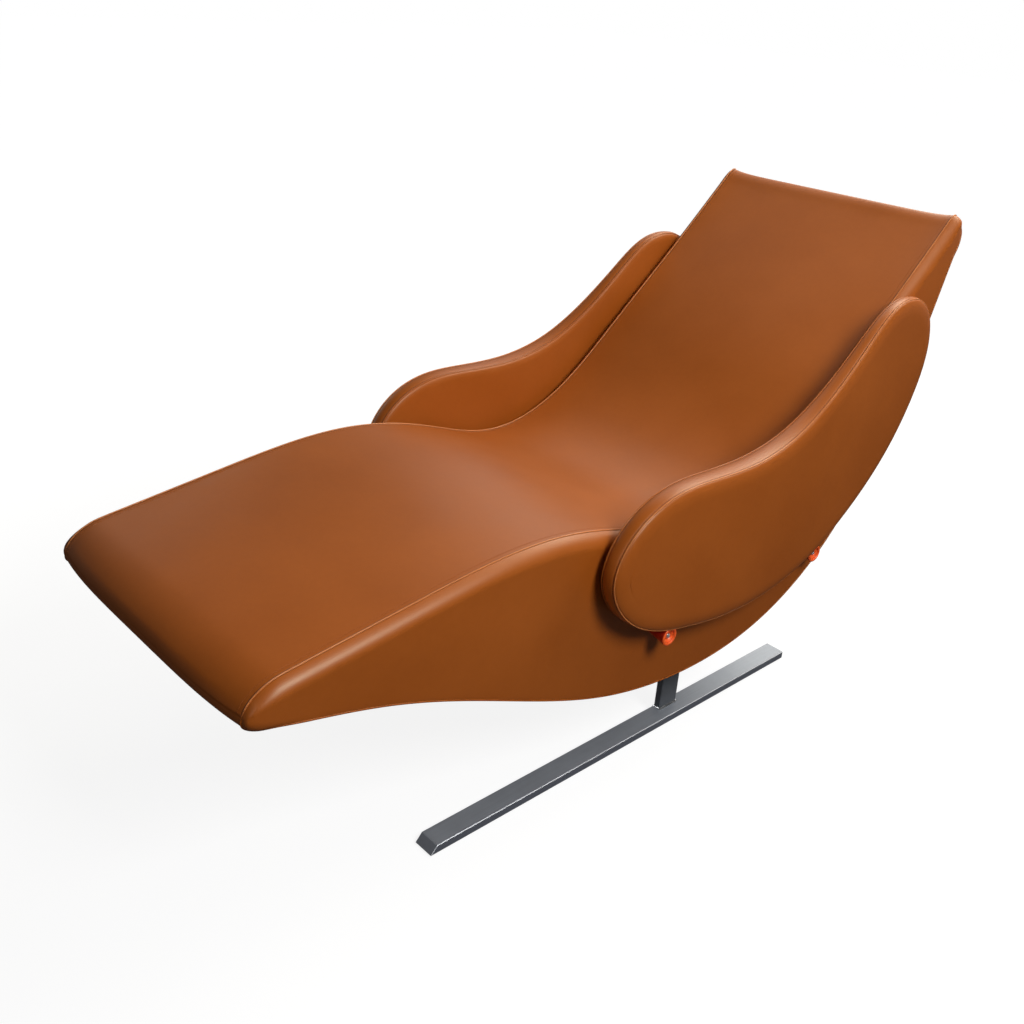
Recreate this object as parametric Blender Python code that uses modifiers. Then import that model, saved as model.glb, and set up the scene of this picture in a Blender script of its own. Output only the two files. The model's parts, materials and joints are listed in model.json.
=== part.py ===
"""Rocking lounger: a long padded leather body with two armrests that rocks on a steel base.

Metres. X runs across the lounger, Y from the foot (-) to the head (+), Z up from the floor.
Left and right are those of a person who lies on it, so left is +X.
"""

import math

import bmesh
import bpy
import numpy as np
from mathutils import Matrix, Vector

# Gap between pieces that touch
FIT_GAP = 0.0003

# Side view of the body, as (Y, Z) places from the foot to the head.
# Each place on the lying line has a place below it on the underside line: the two make a rib.
LYING_LINE = (
    (-0.7835, 0.499),
    (-0.5535, 0.532),
    (-0.2835, 0.553),
    (-0.0935, 0.516),
    (0.1065, 0.464),
    (0.2765, 0.507),
    (0.4565, 0.643),
    (0.6465, 0.806),
    (0.8065, 0.950),
)
UNDERSIDE_LINE = (
    (-0.8075, 0.4335),
    (-0.6035, 0.383),
    (-0.3435, 0.277),
    (-0.1235, 0.191),
    (0.1065, 0.153),
    (0.3565, 0.186),
    (0.5665, 0.319),
    (0.7285, 0.590),
    (0.8295, 0.888),
)
# Where the sides of the body end past the first and the last rib, and how blunt the ends are
FOOT_TIP = (-0.8425, 0.4565)
FOOT_BLUNTNESS = 0.85
HEAD_TIP = (0.8505, 0.955)
HEAD_BLUNTNESS = 0.50
# How far the middle of the foot end stands out beyond its sides
FOOT_BOW = 0.011
# The pad wraps both ends of the body, as far as this share of the first and the last rib step
LIP_SHARE = 0.12
FRAME_START = 0.18

# Upholstery of the body
SEAM_HALF_WIDTH = 0.286
PAD_THICKNESS = 0.045
PAD_CROWN = 0.005
# The crown fades from this rib on, and the head's edge sags by this much instead
CROWN_FADE_RIB = 6.0
HEAD_SAG = 0.004
SIDE_PANEL_THICKNESS = 0.0155
SIDE_PANEL_SWELL = 0.0205
SIDE_PANEL_ROLL = 0.028
SIDE_PANEL_TUCK = 0.001
SIDE_PANEL_LOWER_ROLL = 0.008
LARGEST_ROLL_SHARE = 0.4
COVER_THICKNESS = 0.008

# Wooden frame and webbing inside the body
SIDE_FRAME_THICKNESS = 0.0155
SIDE_FRAME_LEAST_DEPTH = 0.016
STRAP_THICKNESS = 0.003
STRAP_WIDTH = 0.055
STRAP_PLACES = (0.55, 1.3, 2.05, 2.8, 3.55, 4.3, 5.05, 5.8, 6.55, 7.3)
RAIL_WIDTH = 0.036
RAIL_HEIGHT = 0.030
RAIL_DROP = 0.002
RAILS = (("foot", 0.8), ("knee", 1.85), ("thigh", 2.95), ("lumbar", 5.2), ("back", 6.2), ("head", 7.2))

# Rocking axle and what turns on it
AXLE_Y = 0.1485
AXLE_Z = 0.270
AXLE_RADIUS = 0.0125
AXLE_END_PLAY = 0.0015
BUSH_WALL = 0.003
RUNNING_CLEARANCE = 0.0003
WASHER_RADIUS = 0.021
ROCK_FORWARD_DEG = 10.0
ROCK_BACK_DEG = 15.0

# Rubber stops that meet the uprights at the ends of the rocking travel
STOP_RADIUS = 0.008
STOP_LENGTH = 0.014
STOP_DISTANCE = 0.075
STOP_SPARE_DEG = 0.8

# Steel base
RUNNER_LENGTH = 1.016
RUNNER_FRONT_Y = -0.4975
RUNNER_WIDTH = 0.044
RUNNER_THICKNESS = 0.017
RUNNER_INSIDE_UPRIGHT = 0.0021
RUNNER_FRONT_SLOPE = 0.0145
RUNNER_EDGE = 0.0012
UPRIGHT_LENGTH_Y = 0.051
UPRIGHT_THICKNESS = 0.0155
UPRIGHT_TO_FRAME = 0.0025
UPRIGHT_ABOVE_AXLE = 0.026
UPRIGHT_EDGE = 0.0012
UPRIGHT_SLOT_CLEARANCE = 0.004
GLIDE_THICKNESS = 0.003
GLIDE_LENGTH = 0.060
GLIDE_WIDTH = 0.032
GLIDE_FROM_END = 0.030

# Armrests: the seam in side view as (Y, Z) places, from below the round front end over the top
ARM_LINE = (
    (-0.1415, 0.383),
    (-0.1855, 0.473),
    (-0.1485, 0.547),
    (-0.0545, 0.594),
    (0.0605, 0.598),
    (0.1865, 0.599),
    (0.2955, 0.624),
    (0.3955, 0.677),
    (0.5085, 0.765),
    (0.5935, 0.822),
    (0.6725, 0.827),
    (0.7415, 0.784),
    (0.7695, 0.710),
    (0.7495, 0.604),
    (0.6745, 0.484),
    (0.5435, 0.380),
    (0.4315, 0.326),
    (0.2965, 0.295),
    (0.1675, 0.290),
    (0.0315, 0.308),
)
ARM_BOARD_TO_PANEL = 0.0055
ARM_SEAM_FROM_INNER = 0.0025
ARM_BAND = 0.035
# The inner face splays outward towards the front by this slope, and has its stated X at this Y
ARM_SPLAY_Y = 0.3155
ARM_INNER_SPLAY = 0.0105
# The outer face leans in by up to this much away from this Y, most of it within this reach
ARM_LEAN = 0.031
ARM_LEAN_Y = 0.0155
ARM_LEAN_REACH = 0.580
ARM_BAND_SWELL = 0.0015
ARM_CROWN = 0.008
ARM_ROLL = 0.034
ARM_INNER_ROUNDING = 0.009
ARM_BOARD_THICKNESS = 0.0032
ARM_BOARD_INSET = 0.016
ARM_STUD_RADIUS = 0.006
ARM_STUDS = (("front", 0.0555, 0.360), ("rear", 0.4255, 0.480))

# Conical pegs that the armrests stand on
PEG_PLACES = (("front", -0.0065), ("rear", 0.4535))
PEG_NECK_RADIUS = 0.0095
PEG_RIM_RADIUS = 0.0170
PEG_RIM_BEHIND_SEAM = 0.002
PEG_NECK_PROUD = 0.0015
PEG_RIM_ROUNDING = 0.0012
PEG_RIM_WALL = 0.0028
PEG_DISH_DEPTH = 0.008
PEG_DISH_FLOOR_RADIUS = 0.0068
PEG_SCREW_RADIUS = 0.0028
PEG_SCREW_HEAD_RADIUS = 0.0052
PEG_SCREW_HEAD_HEIGHT = 0.0032
PEG_SCREW_HEAD_CHAMFER = 0.0009
PEG_SCREW_SOCKET_RADIUS = 0.0026
PEG_SCREW_SOCKET_DEPTH = 0.0018

# Fineness of the curved shapes
STEPS_PER_RIB = 4
END_STEPS = 4
END_TURN_DEG = 80.0
CROWN_STEPS = 8
PANEL_ROLL_STEPS = 4
PANEL_TUCK_STEPS = 2
ARM_STEPS = 3
ARM_INNER_ROLL_STEPS = 2
ARM_OUTER_ROLL_STEPS = 3
ROUND_STEPS = 20
TANGENT_STEP = 0.01
SHARP_ANGLE_DEG = 35.0
MERGE_DISTANCE = 0.00005

SIDES = (("left", 1), ("right", -1))

# Places that follow from the sizes above
PAD_INNER_X = SEAM_HALF_WIDTH - SIDE_PANEL_THICKNESS
FRAME_OUTER_X = PAD_INNER_X - FIT_GAP
FRAME_INNER_X = FRAME_OUTER_X - SIDE_FRAME_THICKNESS
UPRIGHT_OUTER_X = FRAME_INNER_X - UPRIGHT_TO_FRAME
UPRIGHT_INNER_X = UPRIGHT_OUTER_X - UPRIGHT_THICKNESS
RUNNER_X = UPRIGHT_INNER_X - RUNNER_INSIDE_UPRIGHT + RUNNER_WIDTH / 2
RUNNER_TOP = GLIDE_THICKNESS + FIT_GAP + RUNNER_THICKNESS
BUSH_INNER_RADIUS = AXLE_RADIUS + RUNNING_CLEARANCE
BUSH_OUTER_RADIUS = BUSH_INNER_RADIUS + BUSH_WALL
PANEL_FACE_X = SEAM_HALF_WIDTH + SIDE_PANEL_SWELL
ARM_BOARD_INNER_X = PANEL_FACE_X + ARM_BOARD_TO_PANEL
ARM_INNER_X = ARM_BOARD_INNER_X + ARM_BOARD_THICKNESS + FIT_GAP
ARM_INNER_SEAM_X = ARM_INNER_X + ARM_SEAM_FROM_INNER
ARM_OUTER_SEAM_X = ARM_INNER_SEAM_X + ARM_BAND
AXLE = Vector((0, AXLE_Y, AXLE_Z))


def clear_scene():
    for obj in list(bpy.data.objects):
        bpy.data.objects.remove(obj, do_unlink=True)


def new_collection(name):
    collection = bpy.data.collections.new(name)
    bpy.context.scene.collection.children.link(collection)
    return collection


def new_material(name, colour, roughness, metallic=0.0):
    material = bpy.data.materials.new(name)
    material.use_nodes = True
    shader = material.node_tree.nodes["Principled BSDF"]
    shader.inputs["Base Color"].default_value = (*colour, 1)
    shader.inputs["Roughness"].default_value = roughness
    shader.inputs["Metallic"].default_value = metallic
    return material


clear_scene()
PARTS = new_collection("rocking_lounger")
CUTTERS = new_collection("cutters")
LEATHER = new_material("cognac_leather", (0.30, 0.10, 0.030), 0.45)
COVER_CLOTH = new_material("underside_leather", (0.20, 0.065, 0.020), 0.55)
PLYWOOD = new_material("plywood", (0.55, 0.38, 0.20), 0.65)
WEBBING = new_material("webbing", (0.10, 0.09, 0.08), 0.90)
STEEL = new_material("brushed_steel", (0.36, 0.38, 0.41), 0.35, 1.0)
BRIGHT_STEEL = new_material("bright_steel", (0.62, 0.64, 0.67), 0.22, 1.0)
NYLON = new_material("nylon", (0.80, 0.78, 0.72), 0.50)
RUBBER = new_material("rubber", (0.02, 0.02, 0.02), 0.80)
ORANGE = new_material("orange_peg", (0.78, 0.09, 0.025), 0.28)


def new_pivot(name, place):
    """An empty that carries the pieces of one body."""
    pivot = bpy.data.objects.new(name, None)
    pivot.location = place
    PARTS.objects.link(pivot)
    return pivot


BASE = new_pivot("base_on_floor", Vector((0, 0, 0)))
ROCKER = new_pivot("rocker_on_axle", AXLE)


def carry(obj, carrier, material):
    """Puts a finished piece among the parts and hangs it on its body without moving it."""
    for collection in list(obj.users_collection):
        collection.objects.unlink(obj)
    PARTS.objects.link(obj)
    obj.data.materials.append(material)
    obj.parent = carrier
    obj.matrix_parent_inverse = Matrix.Translation(carrier.location).inverted()
    obj.data.shade_smooth()
    obj.data.set_sharp_from_angle(angle=math.radians(SHARP_ANGLE_DEG))
    return obj


def smooth_line(places):
    """A smooth line through the places, as a function of t: place number i lies at t = i."""
    places = np.array(places)
    steps = np.linalg.norm(np.diff(places, axis=0), axis=1)
    slopes = np.diff(places, axis=0) / steps[:, None]
    system = np.eye(len(places))
    turns = np.zeros_like(places)
    for i in range(1, len(places) - 1):
        system[i, i - 1 : i + 2] = (steps[i - 1], 2 * (steps[i - 1] + steps[i]), steps[i])
        turns[i] = 6 * (slopes[i] - slopes[i - 1])
    bends = np.linalg.solve(system, turns)

    def place(t):
        i = min(int(t), len(steps) - 1)
        after = t - i
        before = 1 - after
        straight = before * places[i] + after * places[i + 1]
        bend = (before**3 - before) * bends[i] + (after**3 - after) * bends[i + 1]
        return straight + bend * steps[i] ** 2 / 6

    return place


LYING = smooth_line(LYING_LINE)
UNDERSIDE = smooth_line(UNDERSIDE_LINE)
LAST_RIB = len(LYING_LINE) - 1
FRAME_END = LAST_RIB - FRAME_START


class Rib:
    """One cut through the body: a place on the lying line, the place below it, and the way down.

    The bow is how far the rib's middle stands out beyond its sides.
    """

    def __init__(self, top, bottom, bow=(0, 0)):
        self.top = top
        self.depth = np.linalg.norm(bottom - top)
        self.down = (bottom - top) / self.depth
        self.bow = np.array(bow)

    def point(self, x, depth):
        inward = max(0, 1 - (x / PAD_INNER_X) ** 2)
        y, z = self.top + self.down * depth + self.bow * inward
        return Vector((x, y, z))


def rib_at(t):
    return Rib(LYING(t), UNDERSIDE(t))


def end_ribs(t, tip, bluntness, bow):
    """Ribs that shrink as they go out from rib t to a tip, so that they round off the end of the body."""
    middle = (LYING(t) + UNDERSIDE(t)) / 2
    half = (LYING(t) - UNDERSIDE(t)) / 2
    reach = np.array(tip) - middle
    outward = reach / np.linalg.norm(reach)
    ribs = []
    for step in range(1, END_STEPS + 1):
        turn = math.radians(END_TURN_DEG) * step / END_STEPS
        centre = middle + reach * math.sin(turn)
        shrink = math.cos(turn) ** bluntness
        ribs.append(Rib(centre + half * shrink, centre - half * shrink, outward * bow * math.sin(turn)))
    return ribs


# All pieces along the body share these ribs, so that their faces run side by side.
FOOT_END = end_ribs(0, FOOT_TIP, FOOT_BLUNTNESS, FOOT_BOW)
FOOT_LIP = FOOT_END[::-1] + [rib_at(0), rib_at(LIP_SHARE)]
FRAME_STEPS = np.linspace(FRAME_START, FRAME_END, STEPS_PER_RIB * LAST_RIB + 1)
FRAME_RIBS = [rib_at(t) for t in FRAME_STEPS]
HEAD_END = end_ribs(LAST_RIB, HEAD_TIP, HEAD_BLUNTNESS, 0)
HEAD_LIP = [rib_at(LAST_RIB - LIP_SHARE), rib_at(LAST_RIB)] + HEAD_END


def ribs_along_frame(start, end):
    """The frame's ribs from start to end, with a rib between two of them at each end."""
    tops = np.array([rib.top for rib in FRAME_RIBS])
    bottoms = np.array([rib.top + rib.down * rib.depth for rib in FRAME_RIBS])
    steps = [start, *FRAME_STEPS[(FRAME_STEPS > start) & (FRAME_STEPS < end)], end]

    def between(places, t):
        return np.array([np.interp(t, FRAME_STEPS, places[:, axis]) for axis in range(2)])

    return [Rib(between(tops, t), between(bottoms, t)) for t in steps]


def pad_depth(rib):
    """Thickness of the pad, which thins where the body leaves too little room for the frame."""
    room = rib.depth - STRAP_THICKNESS - 2 * FIT_GAP - SIDE_FRAME_LEAST_DEPTH
    return min(PAD_THICKNESS, room)


def frame_depth(rib):
    return pad_depth(rib) + STRAP_THICKNESS + 2 * FIT_GAP


def quarter_roll(steps):
    """Shares of a quarter round, as (how far out, how far along), from its start to its end."""
    turns = [math.pi / 2 * i / steps for i in range(steps + 1)]
    return [(math.sin(turn), 1 - math.cos(turn)) for turn in turns]


def loft(name, rings, twisted=False):
    """A closed skin over rings of equal length, with a flat cap on the first and the last.

    Twisted faces are split along their shorter diagonal, so that they match those of a neighbour.
    """
    mesh = bpy.data.meshes.new(name)
    shape = bmesh.new()
    rows = [[shape.verts.new(point) for point in ring] for ring in rings]
    for row, following in zip(rows, rows[1:]):
        for i in range(len(row)):
            shape.faces.new((row[i - 1], row[i], following[i], following[i - 1]))
    shape.faces.new(rows[0])
    shape.faces.new(rows[-1][::-1])
    bmesh.ops.recalc_face_normals(shape, faces=shape.faces)
    if twisted:
        bmesh.ops.triangulate(shape, faces=shape.faces, quad_method="SHORT_EDGE")
    shape.to_mesh(mesh)
    shape.free()
    obj = bpy.data.objects.new(name, mesh)
    bpy.context.scene.collection.objects.link(obj)
    return obj


def box(name, low, high):
    low = Vector(low)
    high = Vector(high)
    bpy.ops.mesh.primitive_cube_add(size=1)
    obj = bpy.context.object
    obj.name = name
    obj.data.transform(Matrix.Diagonal((*(high - low), 1)))
    obj.location = (low + high) / 2
    return obj


def rod(name, radius, start_x, end_x, y, z):
    """A round bar along X."""
    bpy.ops.mesh.primitive_cylinder_add(vertices=ROUND_STEPS, radius=radius, depth=abs(end_x - start_x))
    obj = bpy.context.object
    obj.name = name
    obj.location = ((start_x + end_x) / 2, y, z)
    obj.rotation_euler = (0, math.pi / 2, 0)
    return obj


def turned(name, profile, side, x, y, z):
    """A turned piece along X. The profile holds (radius, distance from x), down its outer side."""
    mesh = bpy.data.meshes.new(name)
    count = len(profile)
    closed = profile[0][0] > 0
    edges = [(i, i + 1) for i in range(count - 1)] + ([(count - 1, 0)] if closed else [])
    mesh.from_pydata([(radius, 0, distance) for radius, distance in profile], edges, [])
    obj = bpy.data.objects.new(name, mesh)
    bpy.context.scene.collection.objects.link(obj)
    screw = obj.modifiers.new("Turn", "SCREW")
    screw.steps = ROUND_STEPS
    screw.render_steps = ROUND_STEPS
    screw.use_merge_vertices = True
    screw.merge_threshold = MERGE_DISTANCE
    obj.location = (side * x, y, z)
    obj.rotation_euler = (0, side * math.pi / 2, 0)
    return obj


def ring_profile(inner, outer, length):
    return ((inner, length), (outer, length), (outer, 0), (inner, 0))


def round_edges(obj, width):
    bevel = obj.modifiers.new("Edges", "BEVEL")
    bevel.width = width
    bevel.segments = 1
    bevel.limit_method = "ANGLE"


def cut(obj, cutter):
    for collection in list(cutter.users_collection):
        collection.objects.unlink(cutter)
    CUTTERS.objects.link(cutter)
    cutter.hide_render = True
    cutter.display_type = "WIRE"
    boolean = obj.modifiers.new("Cut_" + cutter.name, "BOOLEAN")
    boolean.operation = "DIFFERENCE"
    boolean.object = cutter


def arm_outline(inset):
    """The armrest's seam, drawn in by inset, as (Y, Z) places."""
    wrap = len(ARM_LINE)
    line = smooth_line(ARM_LINE * 3)
    count = wrap * ARM_STEPS
    places = np.array([line(wrap + i / ARM_STEPS) for i in range(count)])
    along = np.roll(places, -1, axis=0) - np.roll(places, 1, axis=0)
    along /= np.linalg.norm(along, axis=1)[:, None]
    inward = np.stack([along[:, 1], -along[:, 0]], axis=1)
    return places + inward * inset


def arm_x(x, outward, y):
    """The X at y of a layer of an armrest, from its inner face (outward 0) to its outer face (1)."""
    splay = ARM_INNER_SPLAY * (ARM_SPLAY_Y - y)
    lean = ARM_LEAN * (1 - math.exp(-(abs(y - ARM_LEAN_Y) / ARM_LEAN_REACH) ** 3))
    return x + splay * (1 - outward) - lean * outward


def arm_ring(side, x, inset, outward):
    return [Vector((side * arm_x(x, outward, y), y, z)) for y, z in arm_outline(inset)]


def peg_centre(y):
    """The place of a peg just below the armrest's lower edge, square to that edge."""
    outline = arm_outline(0)
    lower = [i for i in range(len(outline)) if outline[i - 1][0] > y >= outline[i][0]]
    i = min(lower, key=lambda index: outline[index][1])
    edge = outline[i - 1] - outline[i]
    share = (y - outline[i][0]) / edge[0]
    below = np.array([edge[1], -edge[0]]) / np.linalg.norm(edge)
    return outline[i] + edge * share + below * (PEG_RIM_RADIUS + ARM_BAND_SWELL + FIT_GAP)


def seam_mitre(rib):
    """How far down the slanted joint between the pad and a side panel goes."""
    return min(SIDE_PANEL_THICKNESS, rib.depth / 2)


def make_pad():
    """The lying pad: crowned between its seams, with a lip that fills each end of the body."""
    shares = [math.cos(math.pi * i / CROWN_STEPS) for i in range(CROWN_STEPS + 1)]
    heights = np.interp(FRAME_STEPS, (CROWN_FADE_RIB, LAST_RIB), (PAD_CROWN, -HEAD_SAG))

    def ring(rib, depth, height):
        mitre = seam_mitre(rib)
        crown = [(s * SEAM_HALF_WIDTH, -height * (1 - s**2)) for s in shares]
        bottom = [(-s * PAD_INNER_X, depth) for s in shares]
        outline = [*crown, (-PAD_INNER_X, mitre), *bottom, (PAD_INNER_X, mitre)]
        return [rib.point(x, d) for x, d in outline]

    rings = [ring(rib, rib.depth, PAD_CROWN) for rib in FOOT_LIP]
    rings += [ring(rib, pad_depth(rib), height) for rib, height in zip(FRAME_RIBS, heights)]
    rings += [ring(rib, rib.depth, -HEAD_SAG) for rib in HEAD_LIP]
    carry(loft("lying_pad", rings, twisted=True), ROCKER, LEATHER)


def make_side_panel(hand, side):
    """A padded side panel: it rolls out from the seam and tucks in a little at the lower edge."""
    inner = PAD_INNER_X + FIT_GAP
    below_seam = 2 * FIT_GAP

    def ring(rib):
        share = min(1, rib.depth * LARGEST_ROLL_SHARE / SIDE_PANEL_ROLL)
        face = SEAM_HALF_WIDTH + SIDE_PANEL_SWELL * share
        upper = [
            (SEAM_HALF_WIDTH + SIDE_PANEL_SWELL * share * out, below_seam + SIDE_PANEL_ROLL * share * along)
            for out, along in quarter_roll(PANEL_ROLL_STEPS)
        ]
        lower = [
            (face - SIDE_PANEL_TUCK * share * (1 - out), rib.depth - SIDE_PANEL_LOWER_ROLL * share * along)
            for out, along in quarter_roll(PANEL_TUCK_STEPS)[::-1]
        ]
        back = [(inner, rib.depth), (inner, below_seam + seam_mitre(rib))]
        return [rib.point(side * x, depth) for x, depth in upper + lower + back]

    rings = [ring(rib) for rib in FOOT_LIP + FRAME_RIBS + HEAD_LIP]
    panel = loft("side_panel_" + hand, rings, twisted=True)
    holes = [(name, *peg_centre(y), PEG_NECK_RADIUS) for name, y in PEG_PLACES]
    holes += [("stud_" + name, y, z, ARM_STUD_RADIUS) for name, y, z in ARM_STUDS]
    start = side * (FRAME_OUTER_X - SIDE_PANEL_THICKNESS)
    end = side * (PANEL_FACE_X + SIDE_PANEL_THICKNESS)
    for name, y, z, radius in holes:
        cut(panel, rod(f"hole_{name}_{hand}", radius + FIT_GAP, start, end, y, z))
    carry(panel, ROCKER, LEATHER)


def make_side_frame(hand, side):
    def ring(rib):
        corners = (
            (FRAME_INNER_X, frame_depth(rib)),
            (FRAME_OUTER_X, frame_depth(rib)),
            (FRAME_OUTER_X, rib.depth),
            (FRAME_INNER_X, rib.depth),
        )
        return [rib.point(side * x, d) for x, d in corners]

    frame = loft("side_frame_" + hand, [ring(rib) for rib in FRAME_RIBS])
    start = side * (FRAME_INNER_X - SIDE_FRAME_THICKNESS)
    end = side * (FRAME_OUTER_X + SIDE_FRAME_THICKNESS)
    cut(frame, rod("bush_hole_" + hand, BUSH_OUTER_RADIUS + FIT_GAP, start, end, AXLE_Y, AXLE_Z))
    carry(frame, ROCKER, PLYWOOD)


def make_straps():
    half_width = FRAME_OUTER_X - FIT_GAP
    for number, t in enumerate(STRAP_PLACES, start=1):
        rib_step = np.linalg.norm(LYING(t + TANGENT_STEP) - LYING(t - TANGENT_STEP)) / (2 * TANGENT_STEP)
        reach = STRAP_WIDTH / 2 / rib_step
        rings = []
        for rib in ribs_along_frame(t - reach, t + reach):
            upper = pad_depth(rib) + FIT_GAP
            lower = upper + STRAP_THICKNESS
            corners = (
                (-half_width, upper),
                (half_width, upper),
                (half_width, lower),
                (-half_width, lower),
            )
            rings.append([rib.point(x, d) for x, d in corners])
        carry(loft(f"webbing_strap_{number}", rings), ROCKER, WEBBING)


def make_rails():
    """Cross rails between the side frames, each square to the lying line above it."""
    half_length = FRAME_INNER_X - FIT_GAP
    for name, t in RAILS:
        rib = rib_at(t)
        along = LYING(t + TANGENT_STEP) - LYING(t - TANGENT_STEP)
        tilt = math.atan2(along[1], along[0])
        centre = rib.point(0, frame_depth(rib) + RAIL_DROP + RAIL_HEIGHT / 2)
        half = Vector((half_length, RAIL_WIDTH / 2, RAIL_HEIGHT / 2))
        rail = box(name + "_rail", -half, half)
        rail.location = centre
        rail.rotation_euler = (tilt, 0, 0)
        carry(rail, ROCKER, PLYWOOD)


def make_underside_cover():
    """The cover between the side frames, cut out where the uprights swing."""
    half_width = FRAME_INNER_X - FIT_GAP

    def ring(rib):
        upper = rib.depth - COVER_THICKNESS
        corners = (
            (-half_width, upper),
            (half_width, upper),
            (half_width, rib.depth),
            (-half_width, rib.depth),
        )
        return [rib.point(x, d) for x, d in corners]

    cover = loft("underside_cover", [ring(rib) for rib in FRAME_RIBS])
    keel = min(z for _, z in UNDERSIDE_LINE)
    drop = AXLE_Z - keel
    half_length = UPRIGHT_LENGTH_Y / 2 + UPRIGHT_SLOT_CLEARANCE
    back = half_length + drop * math.tan(math.radians(ROCK_BACK_DEG))
    forward = half_length + drop * math.tan(math.radians(ROCK_FORWARD_DEG))
    for hand, side in SIDES:
        xs = sorted((side * (UPRIGHT_INNER_X - UPRIGHT_SLOT_CLEARANCE), side * FRAME_OUTER_X))
        low = (xs[0], AXLE_Y - forward, keel - COVER_THICKNESS)
        high = (xs[1], AXLE_Y + back, AXLE_Z - UPRIGHT_LENGTH_Y)
        cut(cover, box("upright_slot_" + hand, low, high))
    carry(cover, ROCKER, COVER_CLOTH)


def make_bush(hand, side):
    profile = ring_profile(BUSH_INNER_RADIUS, BUSH_OUTER_RADIUS, SIDE_FRAME_THICKNESS)
    carry(turned("axle_bush_" + hand, profile, side, FRAME_INNER_X, AXLE_Y, AXLE_Z), ROCKER, NYLON)


def make_stops(hand, side):
    """Round rubber stops on the side frame: leaning back brings the rear one to the upright."""
    touch = math.asin((UPRIGHT_LENGTH_Y / 2 + STOP_RADIUS) / STOP_DISTANCE)
    swings = (("front", -1, ROCK_FORWARD_DEG), ("rear", 1, ROCK_BACK_DEG))
    for name, way, swing in swings:
        angle = touch + math.radians(swing + STOP_SPARE_DEG)
        y = AXLE_Y + way * STOP_DISTANCE * math.sin(angle)
        z = AXLE_Z - STOP_DISTANCE * math.cos(angle)
        end = FRAME_INNER_X - FIT_GAP
        stop = rod(f"{name}_stop_{hand}", STOP_RADIUS, side * (end - STOP_LENGTH), side * end, y, z)
        carry(stop, ROCKER, RUBBER)


def make_armrest(hand, side):
    sections = [
        (ARM_INNER_SEAM_X - ARM_SEAM_FROM_INNER * out, ARM_INNER_ROUNDING * along, 0)
        for out, along in quarter_roll(ARM_INNER_ROLL_STEPS)[::-1]
    ]
    sections.append((ARM_INNER_SEAM_X + ARM_BAND / 2, -ARM_BAND_SWELL, 0.5))
    sections += [
        (ARM_OUTER_SEAM_X + ARM_CROWN * out, ARM_ROLL * along, 1)
        for out, along in quarter_roll(ARM_OUTER_ROLL_STEPS)
    ]
    carry(loft("arm_pad_" + hand, [arm_ring(side, *section) for section in sections]), ROCKER, LEATHER)
    faces = (ARM_BOARD_INNER_X, ARM_BOARD_INNER_X + ARM_BOARD_THICKNESS)
    rings = [arm_ring(side, x, ARM_BOARD_INSET, 0) for x in faces]
    carry(loft("arm_board_" + hand, rings), ROCKER, PLYWOOD)
    for name, y, z in ARM_STUDS:
        start = side * (FRAME_OUTER_X + FIT_GAP)
        end = side * (arm_x(ARM_BOARD_INNER_X, 0, y) - FIT_GAP)
        carry(rod(f"arm_stud_{name}_{hand}", ARM_STUD_RADIUS, start, end, y, z), ROCKER, BRIGHT_STEEL)


def make_pegs(hand, side):
    """Conical pegs, narrow at the body and dished at the wide end, each held by a screw."""
    for name, place in PEG_PLACES:
        make_peg(name + "_peg", hand, side, *peg_centre(place))


def make_peg(name, hand, side, y, z):
    foot_x = FRAME_OUTER_X + FIT_GAP
    rim_x = arm_x(ARM_OUTER_SEAM_X, 1, y) - PEG_RIM_BEHIND_SEAM
    rim = rim_x - foot_x
    neck = PANEL_FACE_X + PEG_NECK_PROUD - foot_x
    floor = rim - PEG_DISH_DEPTH
    bore = PEG_SCREW_RADIUS + FIT_GAP
    peg_profile = (
        (bore, floor),
        (PEG_DISH_FLOOR_RADIUS, floor),
        (PEG_RIM_RADIUS - PEG_RIM_WALL, rim - PEG_RIM_ROUNDING),
        (PEG_RIM_RADIUS - PEG_RIM_WALL / 2, rim),
        (PEG_RIM_RADIUS, rim - PEG_RIM_ROUNDING),
        (PEG_NECK_RADIUS, neck),
        (PEG_NECK_RADIUS, 0),
        (bore, 0),
    )
    head = floor + FIT_GAP
    socket = head + PEG_SCREW_HEAD_HEIGHT - PEG_SCREW_SOCKET_DEPTH
    screw_profile = (
        (0, socket),
        (PEG_SCREW_SOCKET_RADIUS, socket),
        (PEG_SCREW_SOCKET_RADIUS, head + PEG_SCREW_HEAD_HEIGHT),
        (PEG_SCREW_HEAD_RADIUS - PEG_SCREW_HEAD_CHAMFER, head + PEG_SCREW_HEAD_HEIGHT),
        (PEG_SCREW_HEAD_RADIUS, head + PEG_SCREW_HEAD_HEIGHT - PEG_SCREW_HEAD_CHAMFER),
        (PEG_SCREW_HEAD_RADIUS, head),
        (PEG_SCREW_RADIUS, head),
        (PEG_SCREW_RADIUS, 0),
        (0, 0),
    )
    carry(turned(f"{name}_{hand}", peg_profile, side, foot_x, y, z), ROCKER, ORANGE)
    carry(turned(f"{name}_screw_{hand}", screw_profile, side, foot_x, y, z), ROCKER, BRIGHT_STEEL)


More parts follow.
